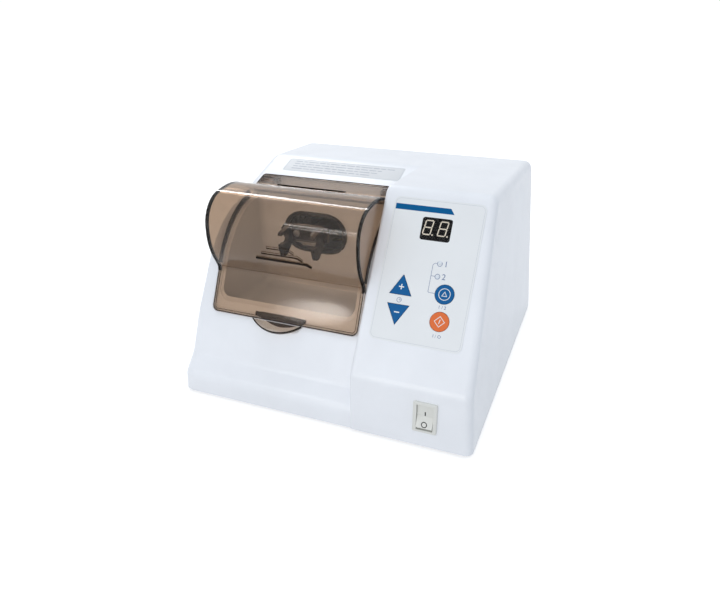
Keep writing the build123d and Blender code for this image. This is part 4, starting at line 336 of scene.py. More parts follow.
def clear_part(name, tint, depth, roughness, index, polish=0.0):
    """Clear plastic. Light that passes this depth in millimetres keeps the tint's share."""
    finish, shader = new_finish(name, (1, 1, 1, 1), roughness)
    put(shader, Transmission_Weight=1.0, IOR=index, Coat_Weight=polish, Coat_Roughness=0.13)
    wear(finish, shader, grain(finish, 14, 4), roughness, roughness + SMEARS)
    relief(finish, shader, grain(finish, 9, 1), 0.01)
    lamp_way = add(finish, "ShaderNodeBsdfTransparent")
    rays = add(finish, "ShaderNodeLightPath")
    swap = add(finish, "ShaderNodeMixShader")
    join(finish, rays.outputs["Is Shadow Ray"], swap.inputs["Fac"])
    join(finish, shader.outputs["BSDF"], swap.inputs[1])
    join(finish, lamp_way.outputs["BSDF"], swap.inputs[2])
    output = finish.node_tree.nodes["Material Output"]
    join(finish, swap.outputs["Shader"], output.inputs["Surface"])
    absorb(finish, output, tint, depth)
    return finish


def absorb(finish, output, tint, depth):
    """Beer's law: the share that passes falls with e to the power of density times way."""
    losses = [-log(max(share, NO_LIGHT)) / (depth * MM) for share in tint]
    density = max(losses) / 0.95
    colour = (*(1 - loss / density for loss in losses), 1)
    inside = add(finish, "ShaderNodeVolumeAbsorption", Density=density, Color=colour)
    join(finish, inside.outputs["Volume"], output.inputs["Volume"])


smoked_acrylic = clear_part("smoked_acrylic", (0.64, 0.55, 0.47), LID_WALL, 0.015, index=1.3, polish=0.22)
display_window = clear_part("display_window", (0.9, 0.9, 0.9), FILTER_WALL, 0.02, index=1.12)
print("clear finishes ready")

# %% [markdown]
# ## Dressing the solids
# A solid keeps its shape and only gets a finish. Each finish is named with the pieces that
# are made of it.

# %% Give every solid its finish
PIECES_OF = {
    housing_plastic: ["top_housing"],
    chamber_plastic: ["mixing_chamber", "interlock_plunger"],
    smoked_acrylic: ["lid"],
    black_rubber: ["rubber_feet", "arm_port_trim"],
    mount_rubber: ["vibration_mounts"],
    steel_sheet: ["base_plate", "drive_chassis", "motor_can", "switch_terminals", "spring_cup"],
    steel_bright: ["rotor_shaft", "skew_hub", "hub_bearing", "left_bearing", "lid_pins"],
    screw_steel: [name for name in nodes if name.endswith("_screws")],
    spring_steel: ["arm_spring"],
    dark_spring: ["capsule_clip"],
    alloy: ["mixing_arm"],
    magnet: ["motor_magnets"],
    core_iron: ["armature", "transformer_core"],
    copper_coil: ["transformer_coil"],
    circuit_board: ["control_board", "power_board"],
    brass_pin: ["inlet_pins"],
    overlay_film: ["panel_overlay"],
    display_window: ["display_lens"],
    module_black: ["display_module"],
    milky_lens: ["mode_leds"],
    switch_grey: ["switch_frame", "power_rocker"],
    blue_key: ["key_up", "key_down", "key_select"],
    orange_key: ["key_start"],
    black_plastic: [
        "interlock_switch", "motor_fan", "tact_switches", "board_parts", "inlet_body",
        "fuse_drawer", "fuses", "power_board_spacers", "power_board_parts",
    ],
}


dressed = set()
for finish, names in PIECES_OF.items():
    for name in names:
        nodes[name].data.materials.clear()
        nodes[name].data.materials.append(finish)
        dressed.add(name)
print("dressed", len(dressed), "of", len(nodes), "- left over:", sorted(set(nodes) - dressed))

# %% [markdown]
# ## Finding places on the frame
# Printed marks lie on faces that slope. Instead of working out each slope, a straight line
# is sent from outside onto the piece, and the place and the normal of the face that it
# meets become a small coordinate system: x to the right, y up the face, z out of it.

# %% Places on faces
DOWN = (0, 0, -1)
AHEAD = (0, 1, 0)
ABOVE = 0.05
FLAT = 0.05 * MM
FILM_IN = 5 * MM


def seat_on(node, outside, direction):
    """A frame on the face that a line from outside meets: x right, y up the face, z outwards."""
    hit, place, normal, _ = nodes[node].ray_cast(Vector(outside), Vector(direction))
    if not hit:
        raise RuntimeError("no face of " + node + " there")
    across = Vector((1, 0, 0))
    normal = (normal - across * normal.dot(across)).normalized()
    uphill = normal.cross(across)
    seat = Matrix((across, uphill, normal)).transposed().to_4x4()
    seat.translation = place
    return seat


def middle(node):
    """The middle of a solid's box."""
    low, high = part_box(node)
    return (low + high) / 2


def half_width(node):
    """Half of a solid's width."""
    low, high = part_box(node)
    return (high.x - low.x) / 2


def points_of(node, seat):
    """A solid's points as its seat measures them."""
    return [seat.inverted() @ vertex.co for vertex in nodes[node].data.vertices]


def face_of(node, seat):
    """Those of its points that lie in the seat's own face."""
    return [p for p in points_of(node, seat) if abs(p.z) < FLAT]


film_low, film_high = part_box("panel_overlay")
film_spot = (film_low.x + FILM_IN, middle("panel_overlay").y, film_high.z + ABOVE)
film_seat = seat_on("panel_overlay", film_spot, DOWN)
film = points_of("panel_overlay", film_seat)
panel = film_seat @ Matrix.Translation((min(p.x for p in film), max(p.y for p in film), 0))
print("the panel's normal is", tuple(round(v, 3) for v in panel.col[2][:3]))

# %% [markdown]
# ## Flat marks, made by hand
# Ink and moulded symbols are very low solids. Each starts as a primitive, is shaped in edit
# mode and gets its thickness by extruding. Edges and faces are picked in code, by their
# place, because there is no mouse. The helpers below are the few hand movements that all
# the marks share.

# %% Hand movements in edit mode
INK = 0.07 * MM


def start_clean():
    """Nothing selected and no piece in edit mode."""
    if bpy.context.object and bpy.context.object.mode != "OBJECT":
        bpy.ops.object.mode_set(mode="OBJECT")
    bpy.ops.object.select_all(action="DESELECT")


def begin(primitive, **settings):
    """A new primitive, opened in edit mode."""
    start_clean()
    primitive(**settings)
    bpy.ops.object.mode_set(mode="EDIT")
    return bpy.context.object


def pick(piece, kind, test):
    """Selects, in edit mode, the edges or the vertices that pass a test."""
    bpy.ops.mesh.select_mode(type={"edges": "EDGE", "vertices": "VERT"}[kind])
    bpy.ops.mesh.select_all(action="DESELECT")
    bpy.ops.object.mode_set(mode="OBJECT")
    for element in getattr(piece.data, kind):
        element.select = test(element)
    bpy.ops.object.mode_set(mode="EDIT")


def thicken():
    """Gives a flat outline its thickness, with the normals outwards."""
    bpy.ops.mesh.select_all(action="SELECT")
    bpy.ops.mesh.extrude_region_move(TRANSFORM_OT_translate={"value": (0, 0, INK)})
    bpy.ops.mesh.select_all(action="SELECT")
    bpy.ops.mesh.normals_make_consistent(inside=False)
    bpy.ops.object.mode_set(mode="OBJECT")


def choose(pieces):
    """Selects these pieces alone, and makes the first one active."""
    start_clean()
    for piece in pieces:
        piece.select_set(True)
    bpy.context.view_layer.objects.active = pieces[0]


def lay(piece, seat, x=0.0, y=0.0, turn=0.0, sink=0.01):
    """Lays a flat piece on a seat, its place in its mesh."""
    choose([piece])
    place = Matrix.Translation((x, y, -sink * MM)) @ Matrix.Rotation(turn, 4, "Z")
    piece.matrix_world = seat @ place @ piece.matrix_world
    bpy.ops.object.transform_apply(location=True, rotation=True, scale=True)
    return piece


def melt(pieces):
    """Joins pieces into the first of them."""
    choose(pieces)
    bpy.ops.object.join()
    return pieces[0]


def name_it(piece, name, finish, body):
    """Names a finished piece, gives it its finish and lets it move with its body."""
    piece.name = name
    piece.data.name = name
    piece.data.materials.clear()
    piece.data.materials.append(finish)
    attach(piece, body)


def print_mark(mark, name, finish, x=0.0, y=0.0, turn=0.0, seat=panel, sink=0.01):
    """Prints a mark on the panel's film, or on another film that has its own seat."""
    name_it(lay(mark, seat, x, y, turn, sink), name, finish, "case")


print("ink is", INK / MM, "mm thick")

# %% [markdown]
# A ring, a hollow triangle and a hollow diamond are the same piece with 48, 3 or 4 corners:
# a filled circle primitive, inset by the line's width, with the middle face deleted. The
# inset keeps the line equally wide all round, which scaling a copy wouldn't.

# %% Hollow outlines, bars and crosses
def outline_mark(corners, radius, line):
    """A closed line round a regular figure."""
    mark = begin(bpy.ops.mesh.primitive_circle_add, vertices=corners, radius=radius, fill_type="NGON")
    bpy.ops.mesh.select_mode(type="FACE")
    bpy.ops.mesh.select_all(action="SELECT")
    bpy.ops.mesh.inset(thickness=line)
    bpy.ops.mesh.delete(type="FACE")
    thicken()
    return mark


def rectangle(length, width):
    """A flat rectangle, opened in edit mode."""
    sheet = begin(bpy.ops.mesh.primitive_plane_add, size=1)
    bpy.ops.transform.resize(value=(length, width, 1))
    return sheet


def bar_mark(length, width, soft=0.0):
    """A straight bar, with its corners rounded if asked."""
    mark = rectangle(length, width)
    if soft:
        bpy.ops.mesh.select_all(action="SELECT")
        bpy.ops.mesh.bevel(offset=soft, segments=4, affect="VERTICES")
    thicken()
    return mark


def cross_mark(length, width):
    """A plus sign: a square whose four edges are pulled out."""
    mark = begin(bpy.ops.mesh.primitive_plane_add, size=width)
    reach = (length - width) / 2
    for turn in range(4):
        way = Vector((round(cos(turn * pi / 2)), round(sin(turn * pi / 2)), 0))
        verts = mark.data.vertices
        pick(mark, "edges", lambda e: all(abs(verts[v].co.dot(way) - width / 2) < width / 10
                                          and abs(verts[v].co.dot(way.yxz)) < width for v in e.vertices))
        bpy.ops.mesh.extrude_edges_move(TRANSFORM_OT_translate={"value": way * reach})
    thicken()
    return mark


print("mark helpers ready")

# %% [markdown]
# ## Stripe, keyline and lines on the panel
# The stripe's right end is cut at a slant, so the upper corner of that end is pulled back
# before the thickness goes in. Places on the film are measured from its upper left corner:
# to the right, and down.

# %% The stripe
STRIPE_LEFT = 1.6 * MM
STRIPE_RIGHT = 49.9 * MM
STRIPE_MIDDLE = 8.2 * MM
STRIPE_WIDTH = 4.6 * MM
STRIPE_SLANT = 3.3 * MM


def ink(name, colour, shine=0.5, roughness=0.5):
    """A thin dry layer of ink."""
    return moulded(name, colour, roughness, grain_size=0.3, grain_height=0.004, shine=shine)


blue_ink = ink("blue_ink", paint(0, 90, 145), shine=0.1)
grey_ink = ink("grey_ink", paint(112, 130, 164), shine=0.2)
white_ink = ink("white_ink", paint(238, 240, 240), roughness=0.45)
stripe = rectangle(STRIPE_RIGHT - STRIPE_LEFT, STRIPE_WIDTH)
pick(stripe, "vertices", lambda v: v.co.x > 0 and v.co.y > 0)
bpy.ops.transform.translate(value=(-STRIPE_SLANT, 0, 0))
thicken()
print_mark(stripe, "panel_stripe", blue_ink, (STRIPE_LEFT + STRIPE_RIGHT) / 2, -STRIPE_MIDDLE)
print("stripe", len(stripe.data.polygons), "faces")

# %% [markdown]
# A printed line that turns corners is drawn as a curve, because a curve keeps its width
# round every bend. It is given a round section, made a mesh and then pressed flat, so that
# it lies on the film like a bead of ink.

# %% Printed lines
CORNER_STEPS = 5
KEYLINE_INSET = 1.3 * MM
KEYLINE_WIDTH = 0.22 * MM
KEYLINE_CORNER = 4 * MM


def open_mesh():
    """Turns the curve or text at hand into a mesh, opened in edit mode and wholly selected."""
    bpy.ops.object.convert(target="MESH")
    bpy.ops.object.mode_set(mode="EDIT")
    bpy.ops.mesh.select_all(action="SELECT")


def bead(points, radius, closed=False, press=(1, 1, 1), press_at=(0, 0, 0)):
    """A round line through points, pressed flatter along an axis if asked."""
    start_clean()
    bpy.ops.curve.primitive_nurbs_path_add()
    line = bpy.context.object
    line.data.splines.clear()
    run = line.data.splines.new("POLY")
    run.points.add(len(points) - 1)
    for point, place in zip(run.points, points):
        point.co = (*place, 1)
    run.use_cyclic_u = closed
    line.data.bevel_depth = radius
    line.data.bevel_resolution = 1
    line.data.use_fill_caps = True
    open_mesh()
    bpy.ops.mesh.normals_make_consistent(inside=False)
    bpy.ops.transform.resize(value=press, center_override=press_at)
    bpy.ops.object.mode_set(mode="OBJECT")
    return line


def printed_line(points, width, closed=False):
    """A line of ink through points given as right and down from the panel's corner."""
    return bead([(x, -down, 0) for x, down in points], width / 2, closed, press=(1, 1, 2 * INK / width))


def stepped(first, last, steps):
    """Even steps from one value to another, both included."""
    return [first + (last - first) * step / steps for step in range(steps + 1)]


def border_line(left, top, wide, tall, inset, corner, width):
    """A line inside the edges of a rectangle, at an inset, round at its corners."""
    points = []
    for across, along, start in ((1, 1, 0), (0, 1, 90), (0, 0, 180), (1, 0, 270)):
        centre_x = left + inset + corner + across * (wide - 2 * inset - 2 * corner)
        centre_down = top + inset + corner + (1 - along) * (tall - 2 * inset - 2 * corner)
        for angle in map(radians, stepped(start, start + 90, CORNER_STEPS)):
            points.append((centre_x + corner * cos(angle), centre_down - corner * sin(angle)))
    return printed_line(points, width, closed=True)


film_wide = film_high.x - film_low.x
film_long = max(-p.y for p in points_of("panel_overlay", panel))
pale_ink = ink("pale_ink", paint(196, 201, 210))
keyline = border_line(0.0, 0.0, film_wide, film_long, KEYLINE_INSET, KEYLINE_CORNER, KEYLINE_WIDTH)
print_mark(keyline, "panel_keyline", pale_ink)
print("keyline round a film", round(film_wide / MM, 1), "by", round(film_long / MM, 1), "mm")

# %% [markdown]
# ## Mode lights, numbers and bracket
# Two small lights show which of two programs is chosen. Where the marks round them go is
# read from the lights' and the key's own solids.

# %% Places of the lights and keys on the panel
def on_panel(point):
    """A point's place on the panel: right and down from its corner."""
    local = panel.inverted() @ point
    return local.x, -local.y


def light_middles():
    """The middles of the two lights, the upper one first."""
    places = [vertex.co for vertex in nodes["mode_leds"].data.vertices]
    split = (min(p.z for p in places) + max(p.z for p in places)) / 2
    upper = [p for p in places if p.z > split]
    lower = [p for p in places if p.z <= split]
    return [sum(light, Vector()) / len(light) for light in (upper, lower)]


lights = [on_panel(place) for place in light_middles()]
select_key = on_panel(middle("key_select"))
print("lights at", [(round(x / MM, 1), round(down / MM, 1)) for x, down in lights])

# %% [markdown]
# A printed ring frames each light, a plain number stands beside it, and a bracket leads from
# both to the key that switches between them.

# %% Rings, numbers and bracket
RING_RADIUS = 2.15 * MM
RING_LINE = 0.4 * MM
NUMBER_TALL = 4.6 * MM
NUMBER_AFTER = 5.0 * MM
FONT_SIZE = 1.4
WELD = 0.001 * MM
BRACKET_LEFT = 5.2 * MM
BRACKET_LINE = 0.42 * MM
BRACKET_CORNER = 1.4 * MM
BRACKET_UNDER = 1.8 * MM


def printed_number(text, tall):
    """A figure as a mesh, standing on the origin's line."""
    start_clean()
    bpy.ops.object.text_add()
    figure = bpy.context.object
    figure.data.body = text
    figure.data.align_x = "CENTER"
    figure.data.align_y = "CENTER"
    figure.data.size = tall * FONT_SIZE
    figure.data.extrude = INK / 2
    open_mesh()
    bpy.ops.mesh.remove_doubles(threshold=WELD)
    bpy.ops.transform.translate(value=(0, 0, INK / 2))
    bpy.ops.object.mode_set(mode="OBJECT")
    return figure


for number, (x, down) in enumerate(lights, start=1):
    print_mark(outline_mark(40, RING_RADIUS, RING_LINE), f"light_ring_{number}", grey_ink, x, -down)
    figure = printed_number(str(number), NUMBER_TALL)
    print_mark(figure, f"light_number_{number}", grey_ink, x + NUMBER_AFTER, -down)

first, second = lights
rail = first[0] - BRACKET_LEFT
bracket = printed_line([
    (first[0] - RING_RADIUS, first[1]), (rail + BRACKET_CORNER, first[1]), (rail, first[1] + BRACKET_CORNER),
    (rail, select_key[1] - BRACKET_CORNER / 2), (rail + BRACKET_CORNER / 2, select_key[1]),
    (select_key[0] - half_width("key_select") + BRACKET_UNDER, select_key[1])], BRACKET_LINE)
print_mark(bracket, "mode_bracket", grey_ink)
tick = printed_line([(rail, second[1]), (second[0] - RING_RADIUS, second[1])], BRACKET_LINE)
print_mark(tick, "mode_tick", grey_ink)
print("rings, numbers and bracket printed")

# %% [markdown]
# Small plain signs say what the keys are for: a clock face between the two time keys, the
# two program numbers under the round key, and the marks for on and off under the start key.

# %% Small signs beside the keys
CLOCK_RADIUS = 2.0 * MM
CLOCK_LINE = 0.35 * MM
CLOCK_HANDS = (("clock_hand_long", 1.5 * MM, False), ("clock_hand_short", 1.0 * MM, True))
SIGN_TALL = 2.5 * MM
SIGN_BELOW = 1.1 * MM
START_BELOW = 2.2 * MM

up_place = on_panel(middle("key_up"))
down_place = on_panel(middle("key_down"))
clock_x = (up_place[0] + down_place[0]) / 2
clock_y = -(up_place[1] + down_place[1]) / 2
print_mark(outline_mark(40, CLOCK_RADIUS, CLOCK_LINE), "clock_face", grey_ink, clock_x, clock_y)
for hand, reach, upright in CLOCK_HANDS:
    x = clock_x if upright else clock_x + reach / 2
    y = clock_y + reach / 2 if upright else clock_y
    print_mark(bar_mark(reach, CLOCK_LINE), hand, grey_ink, x, y, pi / 2 if upright else 0.0)

start_key = on_panel(middle("key_start"))
signs = (
    ("program_sign", "1 / 2", select_key, half_width("key_select") + SIGN_BELOW),
    ("start_sign", "I / O", start_key, half_width("key_start") + START_BELOW),
)
for sign, text, (x, down), below in signs:
    print_mark(printed_number(text, SIGN_TALL), sign, grey_ink, x, -down - below)
print("signs:", [sign[0] for sign in signs], "and a clock", round(-clock_y / MM, 1), "mm down")

# %% [markdown]
# ## Symbols on the keys
# The symbols move with their keys, so each rides on its key's body. They are plain ones:
# plus and minus on the two time keys, a triangle in a ring on the round program key, and
# a diamond with a bar in it, the usual sign for starting a cycle, on the orange key.

# %% Key symbols
PLUS_SIZE = (4.3 * MM, 0.85 * MM)
MINUS_SIZE = (4.2 * MM, 0.95 * MM)
TRIANGLE_SHIFT = 1.6 * MM
SYMBOL_LINE = 0.62 * MM
THIN_LINE = SYMBOL_LINE * 0.8
FINE_LINE = SYMBOL_LINE * 0.7
RING_OUT = 4.7 * MM
DIAMOND_OUT = 4.4 * MM
TRIANGLE_OUT = 2.7 * MM
TRIANGLE_DROP = 0.3 * MM
BAR_LONG = 3.4 * MM
BAR_SOFT = 0.2 * MM
BAR_TURN = pi / 2 - radians(12)


def cap_seat(node):
    """A seat on the middle of a key's top face."""
    place = middle(node)
    seat = seat_on(node, (place.x, place.y, place.z + ABOVE), DOWN)
    face = face_of(node, seat)
    across = sum(p.x for p in face) / len(face)
    along = (max(p.y for p in face) + min(p.y for p in face)) / 2
    return seat @ Matrix.Translation((across, along, 0))


def mark_key(node, body, name, mark, y=0.0, turn=0.0):
    """Lays a white mark on a key and lets it move with the key."""
    name_it(lay(mark, cap_seat(node), 0.0, y, turn), name, white_ink, body)


mark_key("key_up", "up_key", "plus_sign", cross_mark(*PLUS_SIZE), y=-TRIANGLE_SHIFT)
mark_key("key_down", "down_key", "minus_sign", bar_mark(*MINUS_SIZE), y=TRIANGLE_SHIFT)
mark_key("key_select", "select_key", "select_ring", outline_mark(48, RING_OUT, THIN_LINE))
select_triangle = outline_mark(3, TRIANGLE_OUT, FINE_LINE)
mark_key("key_select", "select_key", "select_triangle", select_triangle, y=-TRIANGLE_DROP)
mark_key("key_start", "start_key", "start_diamond", outline_mark(4, DIAMOND_OUT, THIN_LINE))
mark_key("key_start", "start_key", "start_bar", bar_mark(BAR_LONG, SYMBOL_LINE, BAR_SOFT), turn=BAR_TURN)
print("key symbols done")

# %% [markdown]
# ## The display's segments
# Behind the window sits a two-digit module. Even switched off, its segments show as pale
# bars on black. A bar with pointed ends is made for each place in a digit; the whole digit
# leans by eight degrees, as on real modules.

# %% Segments
DIGIT_TALL = 12.2 * MM
DIGIT_WIDE = 7.0 * MM
DIGIT_UP = 1.1 * MM
SEGMENT_WIDE = 0.9 * MM
SEGMENT_GAP = 0.2 * MM
DIGIT_LEAN = radians(8)
DIGIT_PITCH = 12.0 * MM
POINT_RADIUS = 0.65 * MM
POINT_AFTER = 1.5 * MM
POINT_X = DIGIT_WIDE / 2 + POINT_AFTER
POINT_Y = (SEGMENT_WIDE - DIGIT_TALL) / 2
IN_PLACE = Matrix.Identity(4)

segment_white = moulded("segment_white", paint(208, 201, 188), 0.5, grain_size=0.3, grain_height=0.003)
face_level = max(p.z for p in points_of("display_module", panel))
lens_middle = on_panel(middle("display_lens"))
glass = panel @ Matrix.Translation((lens_middle[0], -lens_middle[1], face_level))


def segment(long):
    """One lying bar with pointed ends."""
    bar = rectangle(long - SEGMENT_WIDE, SEGMENT_WIDE)
    for side in (-1, 1):
        verts = bar.data.vertices
        pick(bar, "edges", lambda e: all(verts[v].co.x * side > 0.3 * long for v in e.vertices))
        bpy.ops.mesh.extrude_edges_move(TRANSFORM_OT_translate={"value": (side * SEGMENT_WIDE / 2, 0, 0)})
        bpy.ops.mesh.merge(type="CENTER")
    thicken()
    return bar


def segment_places():
    """The seven bars of a digit: middle, turn and length."""
    half = (DIGIT_TALL - SEGMENT_WIDE) / 2
    side = (DIGIT_WIDE - SEGMENT_WIDE) / 2
    level = [(0, up * half, 0.0, 2 * side - SEGMENT_GAP) for up in (-1, 0, 1)]
    standing = [(way * side, up * half / 2, pi / 2, half - SEGMENT_GAP) for way in (-1, 1) for up in (-1, 1)]
    return level + standing


for number, centre in enumerate((-DIGIT_PITCH / 2, DIGIT_PITCH / 2), start=1):
    bars = [lay(segment(long), IN_PLACE, x, y, turn, sink=0) for x, y, turn, long in segment_places()]
    point = begin(bpy.ops.mesh.primitive_circle_add, vertices=16, radius=POINT_RADIUS, fill_type="NGON")
    thicken()
    digit = melt([*bars, lay(point, IN_PLACE, POINT_X, POINT_Y, sink=0)])
    for vertex in digit.data.vertices:
        vertex.co.x += vertex.co.y * sin(DIGIT_LEAN)
    lay(digit, glass, centre - POINT_AFTER / 2, DIGIT_UP)
    name_it(digit, f"digit_{number}", segment_white, "case")
print("two digits of eight marks each")

# %% [markdown]
# ## Mains switch marks and the label
# The rocker carries the two international marks, a bar for on and a ring for off. Its face
# is bent, so each mark gets its own seat.

# %% Marks on the rocker
ON_SHARE = 0.66
OFF_SHARE = 0.26
ON_SIZE = (3.6 * MM, 0.9 * MM, 0.2 * MM)
OFF_RADIUS = 2.4 * MM
OFF_LINE = 0.7 * MM


def front_seat(node, x, z):
    """A seat on a front face, at this place seen from the front."""
    low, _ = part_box(node)
    return seat_on(node, (x, low.y - ABOVE, z), AHEAD)


rocker_low, rocker_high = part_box("power_rocker")
rocker_x = (rocker_low.x + rocker_high.x) / 2
dark_ink = ink("dark_ink", paint(40, 40, 42), shine=0.2)
for name, mark, share, turn in (
        ("rocker_on", bar_mark(*ON_SIZE), ON_SHARE, pi / 2),
        ("rocker_off", outline_mark(40, OFF_RADIUS, OFF_LINE), OFF_SHARE, 0.0)):
    height = rocker_low.z + share * (rocker_high.z - rocker_low.z)
    lay(mark, front_seat("power_rocker", rocker_x, height), turn=turn)
    name_it(mark, name, dark_ink, "rocker")
    print(name, "at height", round(height / MM, 1))

# %% [markdown]
# The label behind the lid is a film with a thin border. Rows of plain dashes hold the place
# of its small print.

# %% The label behind the lid
LABEL_LEFT = -97.0 * MM
LABEL_RIGHT = 21.0 * MM
LABEL_LENGTH = 21.0 * MM
LABEL_FILM = 0.12 * MM
LABEL_CORNER = 1.5 * MM
LABEL_MIDDLE_Y = 26.5 * MM
BORDER_INSET = 1.0 * MM
BORDER_CORNER = 1.0 * MM
BORDER_LINE = 0.35 * MM
ROWS = 4
ROW_PITCH = 4.0 * MM
ROW_START = 8.0 * MM
DASH_TALL = 0.9 * MM
DASH_GAP = 1.3 * MM
DASH_LENGTHS = (7, 4, 10, 6, 3, 9, 5, 8, 4, 11, 6, 5, 7)
PRINT_SINK = 0.02 - LABEL_FILM / MM

label_film = moulded("label_film", paint(214, 217, 220), 0.4, grain_size=0.4, grain_height=0.005)
small_print = ink("small_print", paint(178, 184, 194), shine=0.2)
label_middle = ((LABEL_LEFT + LABEL_RIGHT) / 2, LABEL_MIDDLE_Y, cad_box[1][2] + ABOVE)
label_seat = seat_on("top_housing", label_middle, DOWN)
label_wide = LABEL_RIGHT - LABEL_LEFT
label = bar_mark(label_wide, LABEL_LENGTH, LABEL_CORNER)
label.data.transform(Matrix.Diagonal((1, 1, LABEL_FILM / INK, 1)))
print_mark(label, "rear_label", label_film, seat=label_seat)
border = border_line(
    -label_wide / 2, -LABEL_LENGTH / 2, label_wide, LABEL_LENGTH, BORDER_INSET, BORDER_CORNER, BORDER_LINE)
print_mark(border, "rear_label_border", pale_ink, seat=label_seat, sink=PRINT_SINK)
for row in range(ROWS):
    dashes = []
    reach = ROW_START - label_wide / 2
    level = ((ROWS - 1) / 2 - row) * ROW_PITCH
    turned = DASH_LENGTHS[row * 3:] + DASH_LENGTHS[:row * 3]
    for length in turned[:len(turned) - row]:
        long = length * MM
        dashes.append(lay(bar_mark(long, DASH_TALL), IN_PLACE, reach + long / 2, level, sink=0))
        reach += long + DASH_GAP
    print_mark(melt(dashes), f"label_row_{row + 1}", small_print, seat=label_seat, sink=PRINT_SINK)
print("label", round(label_wide / MM), "by", round(LABEL_LENGTH / MM), "mm")

# %% [markdown]
# ## Painted dark edges of the smoked lid
# A tinted sheet leads light along inside it, and lets it out at its edges deep brown, almost
# black. That shade is painted here: each edge of the lid is drawn by a thin dark bead set into
# the sheet. The bead follows the lid's own outline, which is felt out: straight lines are sent
# at a point inside the dome, like spokes to a hub, and the place where each one lands is kept.

# %% Feeling out the dome's ends
DOME_HUB = Vector((0, -55.0, 122.5)) * MM
SPOKE = 0.3
SPOKE_STEPS = 36
RIM_ANGLES = (207, 46)
RIM_RADIUS = 1.45 * MM
RIM_PROUD = 0.25 * MM
BAND_ANGLES = (203, 48)
BAND_RADIUS = 3.0 * MM
BAND_PRESS = 0.3
BAND_IN = 1.3 * MM
SEAT_GAP = 0.35 * MM


def edge_tint(name, colour, shine=0.5):
    """A smooth finish for painted shade and painted highlights along the sheet's edges."""
    return moulded(name, colour, 0.3, grain_size=0.6, grain_height=0.003, shine=shine)


# Painted shade: near-black beads for the lid's dark edges.
smoked_edge = edge_tint("smoked_edge", paint(17, 14, 12), 0.12)
# Painted shadow: deep brown lines where an edge's shadow falls inside the flanges.
smoked_line = edge_tint("smoked_line", paint(48, 39, 33), 0.2)
# Painted highlight: a pale line for the light on the front flange's rounded lip.
lit_line = edge_tint("lit_line", paint(206, 203, 204))
lid_low, lid_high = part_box("lid")


def felt_points(node, x, angles, sunk):
    """Places where spokes between these angles, in degrees, land on a piece, sunk by a depth."""
    points = []
    for angle in map(radians, stepped(*angles, SPOKE_STEPS)):
        spoke = Vector((0, cos(angle), sin(angle)))
        start = Vector((x, DOME_HUB.y, DOME_HUB.z)) + spoke * SPOKE
        hit, place, normal, _ = nodes[node].ray_cast(start, -spoke)
        if not hit:
            raise RuntimeError("no " + node + " at this spoke")
        points.append(place - normal * sunk)
    return points


def lid_piece(piece, name, finish):
    """Lets a finished bead ride on the lid."""
    name_it(piece, name, finish, "lid_assembly")


# Painted shade: a dark bead round each end of the dome, for its dark rim.
for side, x in (("left", lid_low.x + RIM_RADIUS - RIM_PROUD), ("right", lid_high.x - RIM_RADIUS + RIM_PROUD)):
    rim = felt_points("lid", x, RIM_ANGLES, RIM_RADIUS - RIM_PROUD)
    lid_piece(bead(rim, RIM_RADIUS), "dome_rim_" + side, smoked_edge)
# Painted shade: a pressed dark band along the foot of each end wall, where it meets the seat.
for side, x in (("left", lid_low.x + BAND_IN), ("right", lid_high.x - BAND_IN)):
    foot = felt_points("top_housing", x, BAND_ANGLES, -BAND_RADIUS - SEAT_GAP)
    band = bead(foot, BAND_RADIUS, press=(BAND_PRESS, 1, 1), press_at=(x, 0, 0))
    lid_piece(band, "end_wall_foot_" + side, smoked_edge)
print("dome from", tuple(round(v / MM) for v in rim[0]), "to", tuple(round(v / MM) for v in rim[-1]))

# %% [markdown]
# Two flat flanges leave the dome, one down the front and one back to the hinge. Each gets a
# painted dark line of shade close to its edge and a finer painted shadow further in, where the
# edge's shadow falls; the front one also gets a painted highlight, a pale line on its rounded lip.

# %% Painted lines round the flanges
FRONT_CORNER = 6.0 * MM
REAR_CORNER = 3.0 * MM
FOLD_HEIGHT = 105.5 * MM
PLATE_HEIGHT = 90 * MM
HEEL_Y = -12.0 * MM
FLANGE_Y = -6 * MM
LINE_SUNK = 0.15 * MM
BEND_STEPS = 6
# Name, distance from the edge and radius in millimetres, finish.
FRONT_LINES = (
    ("lip", 0.3, 0.3, lit_line), ("edge", 1.0, 0.35, smoked_edge), ("inner", 3.0, 0.22, smoked_line))
REAR_LINES = (("edge", 0.6, 0.45, smoked_edge), ("inner", 2.6, 0.25, smoked_line))


def flange_line(seat, start, way, corner, inset):
    """Down the left side of a flange, round its end and back up the right side."""
    reach = max(way * p.y for p in face_of("lid", seat)) * way
    left = lid_low.x - seat.translation.x
    right = lid_high.x - seat.translation.x
    radius = corner - inset
    places = [(left + inset, start)]
    for centre, first in ((left + corner, 180), (right - corner, 180 - way * 90)):
        for angle in map(radians, stepped(first, first - way * 90, BEND_STEPS)):
            places.append((centre + radius * cos(angle), reach - way * corner + radius * sin(angle)))
    places.append((right - inset, start))
    return [seat @ Vector((x, y, -LINE_SUNK)) for x, y in places]


plate_seat = seat_on("lid", (0, lid_low.y - ABOVE, PLATE_HEIGHT), AHEAD)
fold = (FOLD_HEIGHT - plate_seat.translation.z) / plate_seat.col[1].z
heel_seat = seat_on("lid", (middle("lid").x, FLANGE_Y, lid_high.z + ABOVE), DOWN)
heel = (HEEL_Y - heel_seat.translation.y) / heel_seat.col[1].y
for flange, lines, seat, start, way, corner in (
        ("front_flange_painted_", FRONT_LINES, plate_seat, fold, -1, FRONT_CORNER),
        ("rear_flange_painted_", REAR_LINES, heel_seat, heel, 1, REAR_CORNER)):
    for name, inset, radius, finish in lines:
        line = flange_line(seat, start, way, corner, inset * MM)
        lid_piece(bead(line, radius * MM), flange + name, finish)
    print(flange + name, "between heights", *(round(f(p.z for p in line) / MM, 1) for f in (min, max)))
